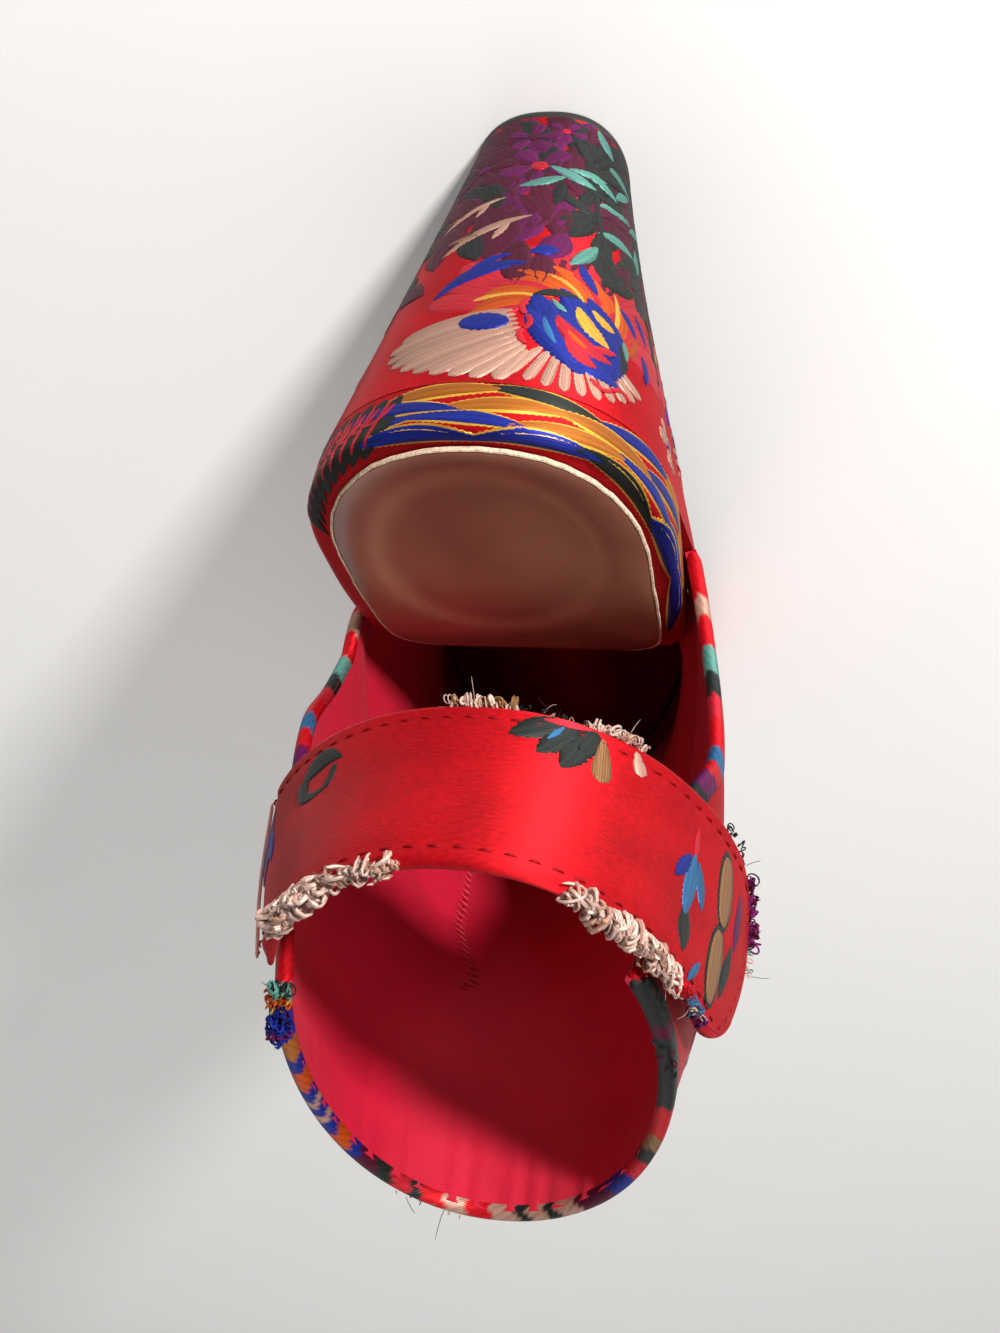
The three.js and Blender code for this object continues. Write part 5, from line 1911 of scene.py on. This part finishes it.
# Camera of the photograph in shoe millimetres: where it stands, where it looks, and how far it is turned over
CAMERA_PLACE = (-45.2, -149.9, 287.0)
CAMERA_AIM = (4.9, 78.7, 87.0)
CAMERA_ROLL = 9.7 + 180
CAMERA_NEAR = 0.01
FLOOR_SIZE = 4.0
# Lights: name, place in metres, what it is aimed at, size in metres, share of key and fill power
LIGHTS = (
    ("key", (-0.45, -0.71, 0.29), (0.0, -0.05, 0.14), 0.1, (1.0, 0.0)),
    ("overhead", (-0.25, 0.1, 0.9), (0.0, 0.0, 0.05), 0.9, (0.0, 0.7)),
    ("front", (0.2, 0.75, 0.75), (0.0, 0.0, 0.08), 0.8, (0.0, 0.9)),
)
WORLD_LIGHT = 0.32


def aimed(item, target, roll=0.0):
    """Turns a light or camera towards a point, then about its own line of sight."""
    way = Vector(target) - item.location
    turn = way.to_track_quat("-Z", "Y").to_matrix()
    item.rotation_mode = "QUATERNION"
    item.rotation_quaternion = (turn @ Matrix.Rotation(math.radians(roll), 3, "Z")).to_quaternion()


class SHOE_OT_stage(bpy.types.Operator):
    """Pale floor, soft studio lights and the camera"""

    bl_idname = "shoe.stage"
    bl_label = "Stage"

    def execute(self, context):
        scene = context.scene
        settings = scene.shoe_stage
        scene.view_settings.view_transform = "Standard"
        half = FLOOR_SIZE / 2
        corners = [(-half, -half, 0), (half, -half, 0), (half, half, 0), (-half, half, 0)]
        mesh = bpy.data.meshes.new("floor")
        mesh.from_pydata(corners, [], [(0, 1, 2, 3)])
        floor = bpy.data.objects.new("floor", mesh)
        scene.collection.objects.link(floor)
        finish = Finish("pale_floor")
        mottle = finish.noise(finish.place(), 0.02, 2.0)
        pale = tuple(settings.floor)
        colour = finish.mix(mottle, tuple(c * 0.97 for c in pale), pale)
        mesh.materials.append(finish.done(Base_Color=colour, Roughness=0.7))
        for name, place, target, size, (key, fill) in LIGHTS:
            data = bpy.data.lights.new(name, "AREA")
            data.energy = settings.key * key + settings.fill * fill
            data.size = size
            lamp = bpy.data.objects.new(name, data)
            lamp.location = place
            scene.collection.objects.link(lamp)
            aimed(lamp, target)
        world = bpy.data.worlds.new("studio")
        world.use_nodes = True
        background = world.node_tree.nodes["Background"].inputs
        background["Color"].default_value = (1, 1, 1, 1)
        background["Strength"].default_value = WORLD_LIGHT
        scene.world = world
        data = bpy.data.cameras.new("camera")
        data.lens = settings.lens
        data.clip_start = CAMERA_NEAR
        camera = bpy.data.objects.new("camera", data)
        camera.location = placed(CAMERA_PLACE)
        scene.collection.objects.link(camera)
        aimed(camera, placed(CAMERA_AIM), CAMERA_ROLL)
        scene.camera = camera
        return {"FINISHED"}


STEPS = (
    SHOE_OT_outsole, SHOE_OT_heel, SHOE_OT_heel_tip, SHOE_OT_insole, SHOE_OT_heel_sock, SHOE_OT_upper,
    SHOE_OT_bindings, SHOE_OT_strap, SHOE_OT_brocade, SHOE_OT_stitches, SHOE_OT_frays, SHOE_OT_stage,
)


class SHOE_PT_panel(bpy.types.Panel):
    """Lists the steps that build the shoe"""

    bl_idname = "SHOE_PT_panel"
    bl_label = "Ankle strap heel"
    bl_space_type = "VIEW_3D"
    bl_region_type = "UI"
    bl_category = "Shoe"

    def draw(self, context):
        for step in STEPS:
            self.layout.operator(step.bl_idname)
        for name in GROUPS:
            box = self.layout.box()
            settings = getattr(context.scene, name)
            for prop in settings.bl_rna.properties:
                if prop.identifier not in ("name", "rna_type"):
                    box.prop(settings, prop.identifier)


GROUPS = {
    "shoe_cloth": ShoeCloth, "shoe_threads": ShoeThreads, "shoe_sewing": ShoeSewing, "shoe_stage": ShoeStage,
}
CLASSES = (*GROUPS.values(), *STEPS, SHOE_PT_panel)


def register():
    for cls in CLASSES:
        bpy.utils.register_class(cls)
    for name, group in GROUPS.items():
        setattr(bpy.types.Scene, name, bpy.props.PointerProperty(type=group))


def unregister():
    for name in GROUPS:
        delattr(bpy.types.Scene, name)
    for cls in reversed(CLASSES):
        bpy.utils.unregister_class(cls)


def main():
    register()
    for step in STEPS:
        group, name = step.bl_idname.split(".")
        getattr(getattr(bpy.ops, group), name)()


if __name__ == "__main__":
    main()
